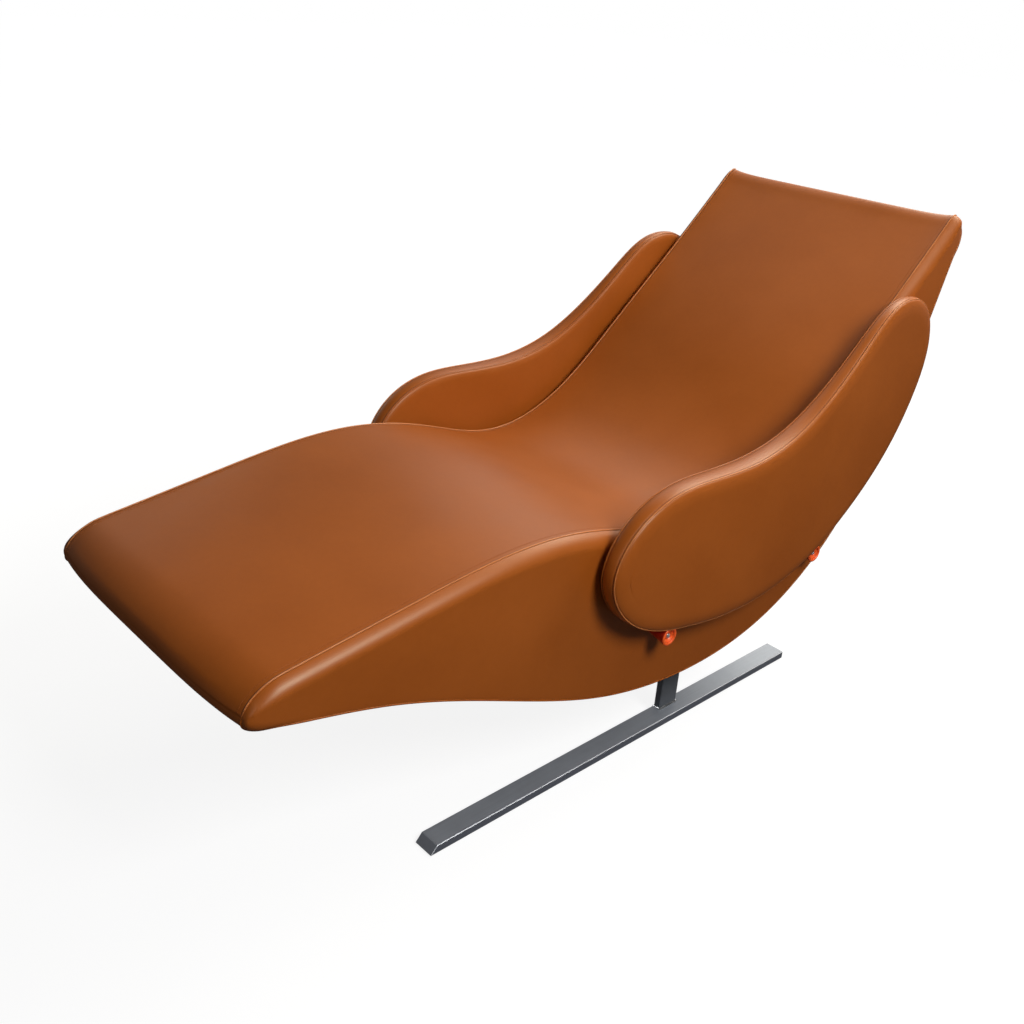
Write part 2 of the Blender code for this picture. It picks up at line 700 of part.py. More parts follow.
def make_runner(hand, side):
    """A flat bar on the floor whose front end slopes up to its top face."""
    front = RUNNER_FRONT_Y
    rear = RUNNER_FRONT_Y + RUNNER_LENGTH
    bottom = GLIDE_THICKNESS + FIT_GAP
    outline = (
        (front, bottom),
        (rear, bottom),
        (rear, RUNNER_TOP),
        (front + RUNNER_FRONT_SLOPE, RUNNER_TOP),
    )
    faces = (RUNNER_X - RUNNER_WIDTH / 2, RUNNER_X + RUNNER_WIDTH / 2)
    runner = loft("runner_" + hand, [[Vector((side * x, y, z)) for y, z in outline] for x in faces])
    round_edges(runner, RUNNER_EDGE)
    carry(runner, BASE, STEEL)
    starts = (("front", front + GLIDE_FROM_END), ("rear", rear - GLIDE_FROM_END - GLIDE_LENGTH))
    for name, start in starts:
        low = (side * RUNNER_X - GLIDE_WIDTH / 2, start, 0)
        high = (side * RUNNER_X + GLIDE_WIDTH / 2, start + GLIDE_LENGTH, GLIDE_THICKNESS)
        carry(box(f"{name}_glide_{hand}", low, high), BASE, RUBBER)


def make_upright(hand, side):
    """A flat bar welded on the runner, bored for the axle near its top."""
    xs = sorted((side * UPRIGHT_INNER_X, side * UPRIGHT_OUTER_X))
    low = (xs[0], AXLE_Y - UPRIGHT_LENGTH_Y / 2, RUNNER_TOP + FIT_GAP)
    high = (xs[1], AXLE_Y + UPRIGHT_LENGTH_Y / 2, AXLE_Z + UPRIGHT_ABOVE_AXLE)
    upright = box("upright_" + hand, low, high)
    round_edges(upright, UPRIGHT_EDGE)
    start = side * (UPRIGHT_INNER_X - UPRIGHT_THICKNESS)
    end = side * (UPRIGHT_OUTER_X + UPRIGHT_THICKNESS)
    cut(upright, rod("axle_hole_" + hand, AXLE_RADIUS + FIT_GAP, start, end, AXLE_Y, AXLE_Z))
    carry(upright, BASE, STEEL)
    thickness = UPRIGHT_TO_FRAME - 2 * FIT_GAP
    profile = ring_profile(AXLE_RADIUS + FIT_GAP, WASHER_RADIUS, thickness)
    washer = turned("axle_washer_" + hand, profile, side, UPRIGHT_OUTER_X + FIT_GAP, AXLE_Y, AXLE_Z)
    carry(washer, BASE, BRIGHT_STEEL)


def make_axle():
    end = FRAME_OUTER_X - AXLE_END_PLAY
    carry(rod("pivot_axle", AXLE_RADIUS, -end, end, AXLE_Y, AXLE_Z), BASE, BRIGHT_STEEL)


make_axle()
make_pad()
make_straps()
make_rails()
make_underside_cover()
for hand, side in SIDES:
    make_runner(hand, side)
    make_upright(hand, side)
    make_side_frame(hand, side)
    make_side_panel(hand, side)
    make_bush(hand, side)
    make_stops(hand, side)
    make_armrest(hand, side)
    make_pegs(hand, side)
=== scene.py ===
"""Looks of the rocking lounger: sewn leather upholstery, lacquered pegs and a brushed steel base.

Metres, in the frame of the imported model: X across, Y from the foot (-) to the head (+), Z up.
"""

import json
import math

import bmesh
import bpy
import numpy as np
from mathutils import Matrix, Vector, noise


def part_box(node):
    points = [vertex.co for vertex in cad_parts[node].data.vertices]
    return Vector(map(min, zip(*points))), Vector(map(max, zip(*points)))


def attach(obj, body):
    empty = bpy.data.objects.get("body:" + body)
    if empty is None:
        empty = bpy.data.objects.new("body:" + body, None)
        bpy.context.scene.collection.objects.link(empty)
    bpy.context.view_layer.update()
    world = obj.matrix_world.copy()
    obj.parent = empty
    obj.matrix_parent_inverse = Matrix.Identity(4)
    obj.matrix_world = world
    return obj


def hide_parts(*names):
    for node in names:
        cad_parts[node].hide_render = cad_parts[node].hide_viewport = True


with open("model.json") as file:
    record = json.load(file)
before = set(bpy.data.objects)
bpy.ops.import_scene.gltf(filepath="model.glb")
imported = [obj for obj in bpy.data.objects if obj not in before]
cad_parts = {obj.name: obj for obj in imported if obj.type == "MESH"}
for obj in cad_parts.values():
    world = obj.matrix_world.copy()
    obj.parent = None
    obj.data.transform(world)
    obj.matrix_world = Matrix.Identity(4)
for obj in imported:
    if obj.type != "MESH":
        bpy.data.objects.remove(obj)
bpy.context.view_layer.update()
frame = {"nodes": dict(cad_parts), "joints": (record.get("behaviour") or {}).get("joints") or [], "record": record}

# Camera, as the photograph was taken
CAMERA_PLACE = (1.3935, -1.4338, 1.3826)
CAMERA_RIGHT = (0.6688, 0.7408, 0.0632)
CAMERA_UP = (-0.3658, 0.2538, 0.8954)
CAMERA_BACK = (0.6473, -0.6219, 0.4407)
CAMERA_LENS_MM = 39.31
SENSOR_MM = 36.0

# Side view of the body, as (Y, Z) places from the foot to the head
LYING_LINE = (
    (-0.7835, 0.499),
    (-0.5535, 0.532),
    (-0.2835, 0.553),
    (-0.0935, 0.516),
    (0.1065, 0.464),
    (0.2765, 0.507),
    (0.4565, 0.643),
    (0.6465, 0.806),
    (0.8065, 0.950),
)
UNDERSIDE_LINE = (
    (-0.8075, 0.4335),
    (-0.6035, 0.383),
    (-0.3435, 0.277),
    (-0.1235, 0.191),
    (0.1065, 0.153),
    (0.3565, 0.186),
    (0.5665, 0.319),
    (0.7285, 0.590),
    (0.8295, 0.888),
)
FOOT_TIP = (-0.8425, 0.4565)
FOOT_BLUNTNESS = 0.85
HEAD_TIP = (0.8505, 0.955)
HEAD_BLUNTNESS = 0.50
HEAD_LOWER_BLUNTNESS = 0.85
FOOT_BOW = 0.0125
BOW_POWER = 4
LIP_SHARE = 0.12
PAD_THICKNESS = 0.045
SIDE_PANEL_THICKNESS = 0.0155
MITRE_SHARE = 0.45
FRAME_LEAST_DEPTH = 0.0196

# Armrest seam in side view, as (Y, Z) places. Its inner face splays, and its outer face leans in
ARM_LINE = (
    (-0.1415, 0.383),
    (-0.1855, 0.473),
    (-0.1485, 0.547),
    (-0.0545, 0.594),
    (0.0605, 0.598),
    (0.1865, 0.599),
    (0.2955, 0.624),
    (0.3955, 0.677),
    (0.5085, 0.765),
    (0.5935, 0.822),
    (0.6725, 0.827),
    (0.7415, 0.784),
    (0.7695, 0.710),
    (0.7495, 0.604),
    (0.6745, 0.484),
    (0.5435, 0.380),
    (0.4315, 0.326),
    (0.2965, 0.295),
    (0.1675, 0.290),
    (0.0315, 0.308),
)
ARM_SPLAY_Y = 0.3155
ARM_INNER_SPLAY = 0.0105
ARM_LEAN = 0.031
ARM_LEAN_Y = 0.0155
ARM_LEAN_REACH = 0.580
ARM_INNER_SEAM_X = 0.3180
ARM_BAND = 0.0350

# Upholstery
CROWN = 0.005
CROWN_FADE_T = 6.0
HEAD_SAG = 0.006
HEAD_SAG_POWER = 10.0
SEAM_CREASE = 0.0020
SEAM_CREASE_WIDTH = 0.0017
WELT_RADIUS = 0.0014
WELT_RISE = 0.0012
# A dark cord in the crease inside the welt: painted shade
CREASE_SHADOW_FROM_SEAM = 0.0025
CREASE_SHADOW_RADIUS = 0.0006
STITCH_FROM_SEAM = 0.0105
STITCH_GROOVE = 0.0001
STITCH_GROOVE_WIDTH = 0.0008
PANEL_SWELL = 0.0205
PANEL_ROLL = 0.028
PANEL_CREASE_OUT = 0.0004
PANEL_CREASE_SHARE = 0.7
PANEL_START_TURN = 0.55
PANEL_FIRST_TURN = PANEL_START_TURN + 0.04
PANEL_BACK_RISE = 0.0002
PANEL_TUCK = 0.001
NOSE_TUCK_END = 0.8
NOSE_TUCK_REACH = 1.1
PANEL_LOWER_ROLL = 0.008
LARGEST_ROLL_SHARE = 0.4
SKIN_THICKNESS = 0.0025
SKIN_GAP = 0.0003
PIPING_RADIUS = 0.0016
TAPER_DEPTH = 0.022
WAVE_HEIGHT = 0.0009
WAVE_LENGTH = 0.21
RIPPLE_HEIGHT = 0.00025
RIPPLE_LENGTH = 0.055
RIPPLE_SEED = 7.3
PAD_SEED = 1.0
PANEL_SEED = 3.0
COVER_SEED = 9.0
ARM_SEED = 20.0
WAVE_FREE_EDGE = 0.045
WAVE_FREE_TIP = 0.6
PANEL_WAVE_FREE_EDGE = 0.03
PANEL_WAVE_FADE = 0.05
DETAIL_DEPTH = 0.03
LEAST_TAPER = 0.3
COVER_OVERLAP = 0.03
SLOT_CLEARANCE = 0.004
SLOT_OUTER_CLEARANCE = 0.0024
SLOT_CUT_HEIGHT = 0.2

# Armrest upholstery
ARM_FACE_BEHIND_SEAM = 0.0055
ARM_INNER_ROLL = 0.016
ARM_INNER_BULGE = 0.004
ARM_BULGE_Y = 0.14
ARM_BULGE_REACH = 0.22
ARM_CROWN = 0.008
ARM_ROLL = 0.030
ARM_BAND_SWELL = 0.0034
ARM_CREASE = 0.0016
ARM_CREASE_WIDTH = 0.0013
ARM_WELT_RADIUS = 0.0013
ARM_STITCH_FROM_SEAM = 0.0036
ARM_STITCH_GROOVE = 0.0005
ARM_FACE_SHARES = (1, 0.85, 0.65, 0.42, 0.2, 0.07)
ARM_WAVE_GAIN = 2.5
ARM_FIRST_TURN = 0.06
ARM_SEAM_STEP = 0.0002
ARM_COLUMNS_MM = (0, 0.4, 0.8, 1.2, 1.6, 2.0, 2.4, 2.8, 3.2, 3.7, 4.4, 5.5, 7.5, 10.5)

# Thread
STITCH_PITCH = 0.0050
STITCH_LENGTH = 0.0037
STITCH_RADIUS = 0.00042
STITCH_LIFT = STITCH_RADIUS * 0.35

# Pegs and screws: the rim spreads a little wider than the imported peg's
PEG_RIM_SPREAD = 1.10
PEG_BEAD = 0.0030
PEG_BEAD_TURNS = (math.radians(200), math.radians(-25))
PEG_CONE_DROP = 1.4 * PEG_BEAD
PEG_NECK_RADIUS = 0.0095
PEG_NECK_LENGTH = 0.0225
PEG_NECK_FLARE = 0.85
PEG_DISH_DEPTH = 0.0085
PEG_FLOOR_RADIUS = 0.0062
PEG_FLOOR_EDGE_RADIUS = 0.0070
PEG_FLOOR_EDGE_RISE = 0.0004
PEG_FUNNEL_RADIUS = 0.0074
PEG_FUNNEL_START = 0.0010
PEG_FUNNEL_RISE = 0.0050
PEG_FUNNEL_FLARE = 1.25
PEG_BORE_RADIUS = 0.0031
SCREW_SHANK_RADIUS = 0.0028
SCREW_HEAD_HEIGHT = 0.0032
SCREW_HEAD_ROUND = 0.0014
SCREW_SOCKET_RADIUS = 0.0022
SCREW_SOCKET_DEPTH = 0.0018
SCREW_SOCKET_BEVEL = (0.0003, 0.0002)
AXIS_RADIUS = 0.0001
# Peg faces turned less than this towards the outside take the darker red lacquer copy: painted shade on the cone
CONE_FACING = 0.15

# Steel base
BASE_METALLIC = 0.5
BASE_EDGE = 0.0022
# Pale colour painted along the top edges of the base: a painted highlight
BASE_EDGE_HIGHLIGHT_COLOUR = (0.80, 0.83, 0.88, 1.0)
WELD_RADIUS = 0.0026
WELD_LIFT = 0.0004
WELD_STEPS = 28
WELD_FLATNESS = 0.8
WELD_RIPPLE = 0.16
WELD_RIPPLE_TURN = 1.9
WELD_UNEVENNESS = 0.25
WELD_NOISE_SCALE = 160
BEVEL_SEGMENTS = 3
BEVEL_ANGLE_DEG = 30

# Room: the floor and the world are white to the camera, and dimmer in mirrors and as light on the lounger
FLOOR_SIZE = 40.0
FLOOR_DROP = 0.0005
FLOOR_SHADE = 0.15
FLOOR_NEAR = 1.2
FLOOR_FAR = 2.6
FLOOR_GLOW = 0.88
FLOOR_NEAR_IN_MIRRORS = 3.0
FLOOR_FAR_IN_MIRRORS = 8.0
FLOOR_GLOW_IN_MIRRORS = 0.04
WORLD_AMBIENT = 0.02
WARM_STUDIO = (1.0, 0.93, 0.82)
ROOM_IN_MIRRORS = 0.03
BACKDROP_WAY = (-0.7, 0.7, 0.0)
STUDIO_IN_MIRRORS = 0.22
BACKDROP_START = -0.2
BACKDROP_FULL = 0.5

# Soft boxes round the lounger: azimuth from +X towards +Y and elevation in degrees, watts, and width
LAMPS = (
    ("side_key", 352, 40, 60, 0.9),
    ("side_rear", 60, 44, 19, 1.0),
    ("side_rear_high", 80, 51, 20, 1.0),
    ("rear", 97, 33, 18, 1.8),
    ("rear_high", 100, 50, 12, 1.0),
    ("rear_low", 122, 11, 5, 1.8),
    ("rear_left", 128, 44, 8, 1.6),
    ("left_fill", 180, 6, 9, 1.2),
    ("front", 288, 26, 5, 1.0),
)
WARM_LAMPS = ("side_rear", "side_rear_high", "rear", "rear_high", "left_fill")
WARM_LIGHT = (1.0, 0.95, 0.84)
LAMP_DISTANCE = 2.8
LAMP_TARGET = (0, 0, 0.45)

# Fineness
STEPS_PER_RIB = 26
END_STEPS = 22
END_FINENESS = 40
END_LAST_SHRINK = 0.03
SMOOTHING_PASSES = 6
ARM_POINTS = 480
ARM_FINE_STEPS = 4000
ARM_FRONT_TIP = 0.85
TURN_STEPS = 48
SMOOTH_ANGLE_DEG = 40.0
MERGE_DISTANCE = 0.00001

SIDES = (("left", 1), ("right", -1))
SEAM_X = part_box("lying_pad")[1].x
INNER_X = SEAM_X - SIDE_PANEL_THICKNESS


# Shape helpers


def smooth_line(places):
    """A smooth line through the places, as a function of t: place number i lies at t = i."""
    places = np.array(places)
    steps = np.linalg.norm(np.diff(places, axis=0), axis=1)
    slopes = np.diff(places, axis=0) / steps[:, None]
    system = np.eye(len(places))
    turns = np.zeros_like(places)
    for i in range(1, len(places) - 1):
        system[i, i - 1 : i + 2] = (steps[i - 1], 2 * (steps[i - 1] + steps[i]), steps[i])
        turns[i] = 6 * (slopes[i] - slopes[i - 1])
    bends = np.linalg.solve(system, turns)

    def place(t):
        i = min(int(t), len(steps) - 1)
        after = t - i
        before = 1 - after
        straight = before * places[i] + after * places[i + 1]
        bend = (before**3 - before) * bends[i] + (after**3 - after) * bends[i + 1]
        return straight + bend * steps[i] ** 2 / 6

    return place


def arc_lengths(points):
    steps = np.linalg.norm(np.diff(points, axis=0), axis=1)
    return np.concatenate([[0], np.cumsum(steps)])


def spread_evenly(points, count):
    """Count points at even steps along a polyline."""
    lengths = arc_lengths(points)
    wanted = np.linspace(0, lengths[-1], count)
    return np.stack([np.interp(wanted, lengths, points[:, k]) for k in range(points.shape[1])], axis=1)


def bump(distance, place, width):
    return np.exp(-(((distance - place) / width) ** 2))


def ease(share):
    share = np.clip(share, 0, 1)
    return share * share * (3 - 2 * share)


def grid_piece(name, grid, close_rows=False, caps=True):
    """A skin over a grid of points: each row is a closed ring, and rows follow each other."""
    grid = np.asarray(grid, float)
    rows, columns = grid.shape[:2]
    index = np.arange(rows * columns).reshape(rows, columns)
    if close_rows:
        index = np.vstack([index, index[:1]])
    here, there = index[:-1], index[1:]
    quads = np.stack([here, np.roll(here, -1, 1), np.roll(there, -1, 1), there], axis=-1)
    faces = quads.reshape(-1, 4).tolist()
    if caps and not close_rows:
        faces.append(index[0][::-1].tolist())
        faces.append(index[-1].tolist())
    mesh = bpy.data.meshes.new(name)
    mesh.from_pydata(grid.reshape(-1, 3).tolist(), [], faces)
    return finished(name, mesh)


def finished(name, mesh):
    """An object for a mesh, with doubled points merged, faces outward and smooth shading."""
    shape = bmesh.new()
    shape.from_mesh(mesh)
    bmesh.ops.remove_doubles(shape, verts=shape.verts, dist=MERGE_DISTANCE)
    bmesh.ops.dissolve_degenerate(shape, edges=shape.edges, dist=MERGE_DISTANCE)
    bmesh.ops.recalc_face_normals(shape, faces=shape.faces)
    shape.to_mesh(mesh)
    shape.free()
    mesh.shade_smooth()
    mesh.set_sharp_from_angle(angle=math.radians(SMOOTH_ANGLE_DEG))
    obj = bpy.data.objects.new(name, mesh)
    bpy.context.scene.collection.objects.link(obj)
    return obj


def tube(name, points, radius, sides=10):
    """A round cord along points, of one radius or a radius at each point, with its ends closed."""
    points = np.asarray(points, float)
    radius = np.broadcast_to(radius, len(points))[:, None, None]
    along = np.gradient(points, axis=0)
    along /= np.linalg.norm(along, axis=1)[:, None]
    across = np.cross(along, (1.0, 0, 0))
    across /= np.linalg.norm(across, axis=1)[:, None]
    other = np.cross(along, across)
    turns = 2 * math.pi * np.arange(sides) / sides
    ring = across[:, None] * np.cos(turns)[:, None] + other[:, None] * np.sin(turns)[:, None]
    return grid_piece(name, points[:, None] + radius * ring)


def thread(name, points, normals):
    """Stitches at an even pitch along points, each a small spindle that lies on the leather."""
    points = np.asarray(points, float)
    lengths = arc_lengths(points)
    count = int(lengths[-1] / STITCH_PITCH)
    starts = (np.arange(count) + 0.5) * STITCH_PITCH

    def at(values, place):
        return np.stack([np.interp(place, lengths, values[:, k]) for k in range(3)], axis=1)

    middle = at(points, starts)
    along = at(points, starts + STITCH_LENGTH / 2) - at(points, starts - STITCH_LENGTH / 2)
    along /= np.linalg.norm(along, axis=1)[:, None]
    up = at(np.asarray(normals, float), starts)
    across = np.cross(along, up)
    across /= np.linalg.norm(across, axis=1)[:, None]
    up = np.cross(across, along)
    shares = (-1, -0.86, -0.45, 0, 0.45, 0.86, 1)
    fullness = (0.15, 0.70, 0.95, 1.0, 0.95, 0.70, 0.15)
    sides = 6
    turns = 2 * math.pi * np.arange(sides) / sides
    verts = []
    for share, full in zip(shares, fullness):
        for turn in turns:
            sideways = across * math.cos(turn) + up * math.sin(turn)
            verts.append(middle + along * share * STITCH_LENGTH / 2 + sideways * full * STITCH_RADIUS)
    verts = np.stack(verts, axis=1)
    per_stitch = verts.shape[1]
    ring = np.arange(per_stitch).reshape(len(shares), sides)
    quads = np.stack([ring[:-1], np.roll(ring[:-1], -1, 1), np.roll(ring[1:], -1, 1), ring[1:]], axis=-1)
    one = quads.reshape(-1, 4).tolist() + [ring[0][::-1].tolist(), ring[-1].tolist()]
    faces = [[i + s * per_stitch for i in face] for s in range(count) for face in one]
    mesh = bpy.data.meshes.new(name)
    mesh.from_pydata(verts.reshape(-1, 3).tolist(), [], faces)
    return finished(name, mesh)


# Ribs of the body


def end_rib_points(top, bottom, tip, bluntness, lower_bluntness):
    """Ribs that round off an end at even steps: their tops, bottoms and shares of the way out."""
    middle = (top + bottom) / 2
    half = (top - bottom) / 2
    reach = np.array(tip) - middle
    last = math.acos(END_LAST_SHRINK ** (1 / bluntness))
    turns = np.linspace(0, last, END_FINENESS * END_STEPS)[:, None]
    rise = half * np.cos(turns) ** bluntness
    drop = half * np.cos(turns) ** lower_bluntness
    centre = middle + reach * np.sin(turns)
    both = np.hstack([centre + rise, centre - drop, np.sin(turns)])
    lengths = arc_lengths(both[:, :4])
    wanted = np.linspace(0, lengths[-1], END_STEPS + 1)[1:]
    picked = np.stack([np.interp(wanted, lengths, both[:, k]) for k in range(5)], axis=1)
    return picked[:, :2], picked[:, 2:4], picked[:, 4:]


def smoothed(points):
    points = points.copy()
    for _ in range(SMOOTHING_PASSES):
        points[1:-1] = (points[:-2] + 2 * points[1:-1] + points[2:]) / 4
    return points


def body_ribs():
    """Tops, bottoms, t and bows of all ribs, from the tip of the foot to the tip of the head."""
    lying = smooth_line(LYING_LINE)
    underside = smooth_line(UNDERSIDE_LINE)
    last = len(LYING_LINE) - 1
    steps = np.linspace(0, last, STEPS_PER_RIB * last + 1)
    tops = np.array([lying(t) for t in steps])
    bottoms = np.array([underside(t) for t in steps])
    foot = end_rib_points(tops[0], bottoms[0], FOOT_TIP, FOOT_BLUNTNESS, FOOT_BLUNTNESS)
    head = end_rib_points(tops[-1], bottoms[-1], HEAD_TIP, HEAD_BLUNTNESS, HEAD_LOWER_BLUNTNESS)
    outward = np.array(FOOT_TIP) - (tops[0] + bottoms[0]) / 2
    outward /= np.linalg.norm(outward)
    rest = np.zeros((len(steps) + END_STEPS, 1))
    bows = smoothed(np.vstack([foot[2][::-1], rest]) * outward * FOOT_BOW)
    tops = smoothed(np.vstack([foot[0][::-1], tops, head[0]]))
    bottoms = smoothed(np.vstack([foot[1][::-1], bottoms, head[1]]))
    before = np.linspace(-1, 0, END_STEPS + 1)[:-1]
    after = np.linspace(last, last + 1, END_STEPS + 1)[1:]
    return tops, bottoms, np.concatenate([before, steps, after]), bows, last


def outward_normals(points, turn):
    along = np.gradient(points, axis=0)
    along /= np.linalg.norm(along, axis=1)[:, None]
    return np.stack([-along[:, 1], along[:, 0]], axis=1) * turn


TOPS, BOTTOMS, RIB_T, BOWS, LAST_T = body_ribs()
TOP_NORMALS = outward_normals(TOPS, 1)
BOTTOM_NORMALS = outward_normals(BOTTOMS, -1)
DEPTHS = np.linalg.norm(BOTTOMS - TOPS, axis=1)
DOWN = (BOTTOMS - TOPS) / DEPTHS[:, None]
# Seam details shrink where the ribs close at the tips
DETAIL = np.clip(DEPTHS / DETAIL_DEPTH, 0, 1)
TAPER = np.clip(DEPTHS / TAPER_DEPTH, LEAST_TAPER, 1)
# Round the nose of the foot the lower edge of a panel comes back to its seam
NOSE_TUCK = 1 - ease((RIB_T + NOSE_TUCK_END) / NOSE_TUCK_REACH)
IS_LIP = (RIB_T <= LIP_SHARE) | (RIB_T >= LAST_T - LIP_SHARE)

# Columns across the pad, as distances from the seam, close together where the seam has its details
SEAM_COLUMNS_MM = (
    0, 0.5, 1.0, 1.5, 2.0, 2.5, 3.0, 3.6, 4.4, 5.6, 7.2, 8.8, 9.4, 9.8, 10.2, 10.5, 10.8, 11.2, 11.6, 12.2,
    14, 18, 24, 32, 43, 57, 73, 92, 113, 136, 161, 187, 213, 239, 264,
)
HALF_COLUMNS = np.array(SEAM_COLUMNS_MM) / 1000
COLUMNS_X = np.concatenate([SEAM_X - HALF_COLUMNS, [0], (HALF_COLUMNS - SEAM_X)[::-1]])
COLUMNS_D = SEAM_X - np.abs(COLUMNS_X)


def seam_profile(distance):
    """Height of the leather at a distance from the seam, with the welt's crease and the stitch groove."""
    crease = -SEAM_CREASE * bump(distance, 0, SEAM_CREASE_WIDTH)
    groove = -STITCH_GROOVE * bump(distance, STITCH_FROM_SEAM, STITCH_GROOVE_WIDTH)
    return crease + groove


def waves(x, along, seed):
    """Slow waves and small ripples of leather over foam, none of them near a seam."""
    slow = noise.noise(Vector((x / WAVE_LENGTH, along / WAVE_LENGTH, seed)))
    small = noise.noise(Vector((x / RIPPLE_LENGTH, along / RIPPLE_LENGTH, seed + RIPPLE_SEED)))
    return WAVE_HEIGHT * slow + RIPPLE_HEIGHT * small


def crown_at(t, share):
    """Crown of the pad at rib t; towards the head the edge sags between its corners instead."""
    to_head = ease((t - CROWN_FADE_T) / (LAST_T - CROWN_FADE_T))
    round_crown = CROWN * (1 - share**2)
    sag = -HEAD_SAG * (1 - np.abs(share) ** HEAD_SAG_POWER)
    return round_crown * (1 - to_head) + sag * to_head


def lay(x, place, direction, height):
    """A point at x, off a (Y, Z) place by a height along a (Y, Z) direction."""
    y, z = place + direction * height
    return (x, y, z)


def bowed(places, i, x):
    """The (Y, Z) place of rib i at x, where the foot's end bows out between its sides."""
    return places[i] + BOWS[i] * max(0, 1 - (x / SEAM_X) ** BOW_POWER)


def make_lying_leather():
    """The lying surface with both wrapped ends, down to the webbing below it."""
    along = arc_lengths(TOPS)
    share = COLUMNS_X / SEAM_X
    profile = seam_profile(COLUMNS_D)
    free = ease(COLUMNS_D / WAVE_FREE_EDGE)
    rings = []
    for i, t in enumerate(RIB_T):
        calm = ease(t / WAVE_FREE_TIP + 1) * ease((LAST_T - t) / WAVE_FREE_TIP + 1)
        wave = np.array([waves(x, along[i], PAD_SEED) for x in COLUMNS_X]) * free * calm
        height = (profile + crown_at(t, share)) * DETAIL[i] + wave
        ring = [lay(x, bowed(TOPS, i, x), TOP_NORMALS[i], h) for x, h in zip(COLUMNS_X, height)]
        mitre = min(SIDE_PANEL_THICKNESS, DEPTHS[i] * MITRE_SHARE)
        if IS_LIP[i]:
            lower = DEPTHS[i] - mitre
            low = profile * DETAIL[i]
            under = [lay(-x, bowed(BOTTOMS, i, x), BOTTOM_NORMALS[i], h) for x, h in zip(COLUMNS_X, low)]
        else:
            depth = min(PAD_THICKNESS, DEPTHS[i] - FRAME_LEAST_DEPTH)
            lower = (mitre + depth) / 2
            under = [lay(-x * INNER_X / SEAM_X, TOPS[i], DOWN[i], depth) for x in COLUMNS_X]
        ring += [lay(-INNER_X, TOPS[i], DOWN[i], mitre), lay(-INNER_X, TOPS[i], DOWN[i], lower)]
        ring += under
        ring += [lay(INNER_X, TOPS[i], DOWN[i], lower), lay(INNER_X, TOPS[i], DOWN[i], mitre)]
        rings.append(ring)
    return grid_piece("lying_leather", rings)


def make_welt(hand, side):
    """The folded edge that stands up along the seam, round both ends of the body."""
    rise = WELT_RISE - SEAM_CREASE * 0.5
    points = [lay(side * SEAM_X, TOPS[i], TOP_NORMALS[i], rise * DETAIL[i]) for i in range(len(TOPS))]
    return tube("seam_welt_" + hand, points, WELT_RADIUS * TAPER)


def panel_section(i):
    """Section of a side panel at rib i, as (distance beyond the seam, depth below the lying line) places."""
    depth = DEPTHS[i]
    detail = DETAIL[i]
    nose = NOSE_TUCK[i]
    share = min(1, depth * LARGEST_ROLL_SHARE / PANEL_ROLL)
    swell = PANEL_SWELL * math.sqrt(share)
    roll = PANEL_ROLL * share
    lower_roll = (PANEL_LOWER_ROLL * (1 - nose) + PANEL_ROLL * nose) * share
    tuck = PANEL_TUCK * share * (1 - nose) + swell * nose
    fold = SEAM_CREASE * detail
    crease = [(0.0, fold), (PANEL_CREASE_OUT * detail, PANEL_CREASE_SHARE * fold)]
    turns = np.linspace(PANEL_FIRST_TURN, math.pi / 2, 22)
    low = math.sin(PANEL_START_TURN)
    high = math.cos(PANEL_START_TURN)
    upper = [(swell * (math.sin(a) - low) / (1 - low), roll * (1 - math.cos(a) / high)) for a in turns]
    face = [(swell, d) for d in np.linspace(roll, depth - lower_roll, 14)[1:-1]]
    turns = np.linspace(0, math.pi / 2, 8)
    lower = [(swell - tuck * (1 - math.cos(a)), depth - lower_roll * (1 - math.sin(a))) for a in turns]
    return crease + upper + face + lower, swell - tuck


def make_side_leather(hand, side):
    """A side panel: it rolls out below the seam and tucks in at its lower edge."""
    rings = []
    along = arc_lengths(TOPS)
    for i in range(len(TOPS)):
        section, _ = panel_section(i)
        ring = []
        for out, depth in section:
            to_edge = min(depth, DEPTHS[i] - depth)
            free = ease((to_edge - PANEL_WAVE_FREE_EDGE) / PANEL_WAVE_FADE)
            wave = waves(along[i], depth, PANEL_SEED + side) * free
            ring.append(lay(side * (SEAM_X + out + wave), TOPS[i], DOWN[i], depth))
        mitre = min(SIDE_PANEL_THICKNESS, DEPTHS[i] * MITRE_SHARE)
        back = INNER_X + SKIN_GAP
        ring += [lay(side * back, TOPS[i], DOWN[i], depth) for depth in (DEPTHS[i] - PANEL_BACK_RISE, mitre)]
        rings.append(ring)
    return grid_piece("side_leather_" + hand, rings)


def lower_edge(side):
    """Points along the lower edge of a side panel, from the foot's tip to the head's."""
    points = []
    for i in range(len(BOTTOMS)):
        _, reach = panel_section(i)
        points.append(lay(side * (SEAM_X + reach), BOTTOMS[i], BOTTOM_NORMALS[i], 0))
    return np.array(points)


def make_piping(hand, side):
    return tube("lower_piping_" + hand, lower_edge(side), PIPING_RADIUS * TAPER)


def make_underside_leather():
    """The cover under the body, from lip to lip, with slots where the uprights swing."""
    start = LIP_SHARE - COVER_OVERLAP
    picked = [i for i, t in enumerate(RIB_T) if start <= t <= LAST_T - start]
    rings = []
    along = arc_lengths(BOTTOMS)
    free = ease(COLUMNS_D / WAVE_FREE_EDGE)
    for i in picked:
        _, reach = panel_section(i)
        half = SEAM_X + reach - PIPING_RADIUS
        widen = half / SEAM_X
        wave = np.array([waves(x, along[i], COVER_SEED) for x in COLUMNS_X]) * free
        height = SKIN_THICKNESS + SKIN_GAP + seam_profile(COLUMNS_D) * 0.5 + wave
        outer = [lay(x * widen, BOTTOMS[i], BOTTOM_NORMALS[i], h) for x, h in zip(COLUMNS_X, height)]
        inner = [lay(-x * widen, BOTTOMS[i], BOTTOM_NORMALS[i], SKIN_GAP) for x in COLUMNS_X]
        rings.append(outer + inner)
    cover = grid_piece("underside_skin", rings)
    cut_upright_slots(cover)
    return cover


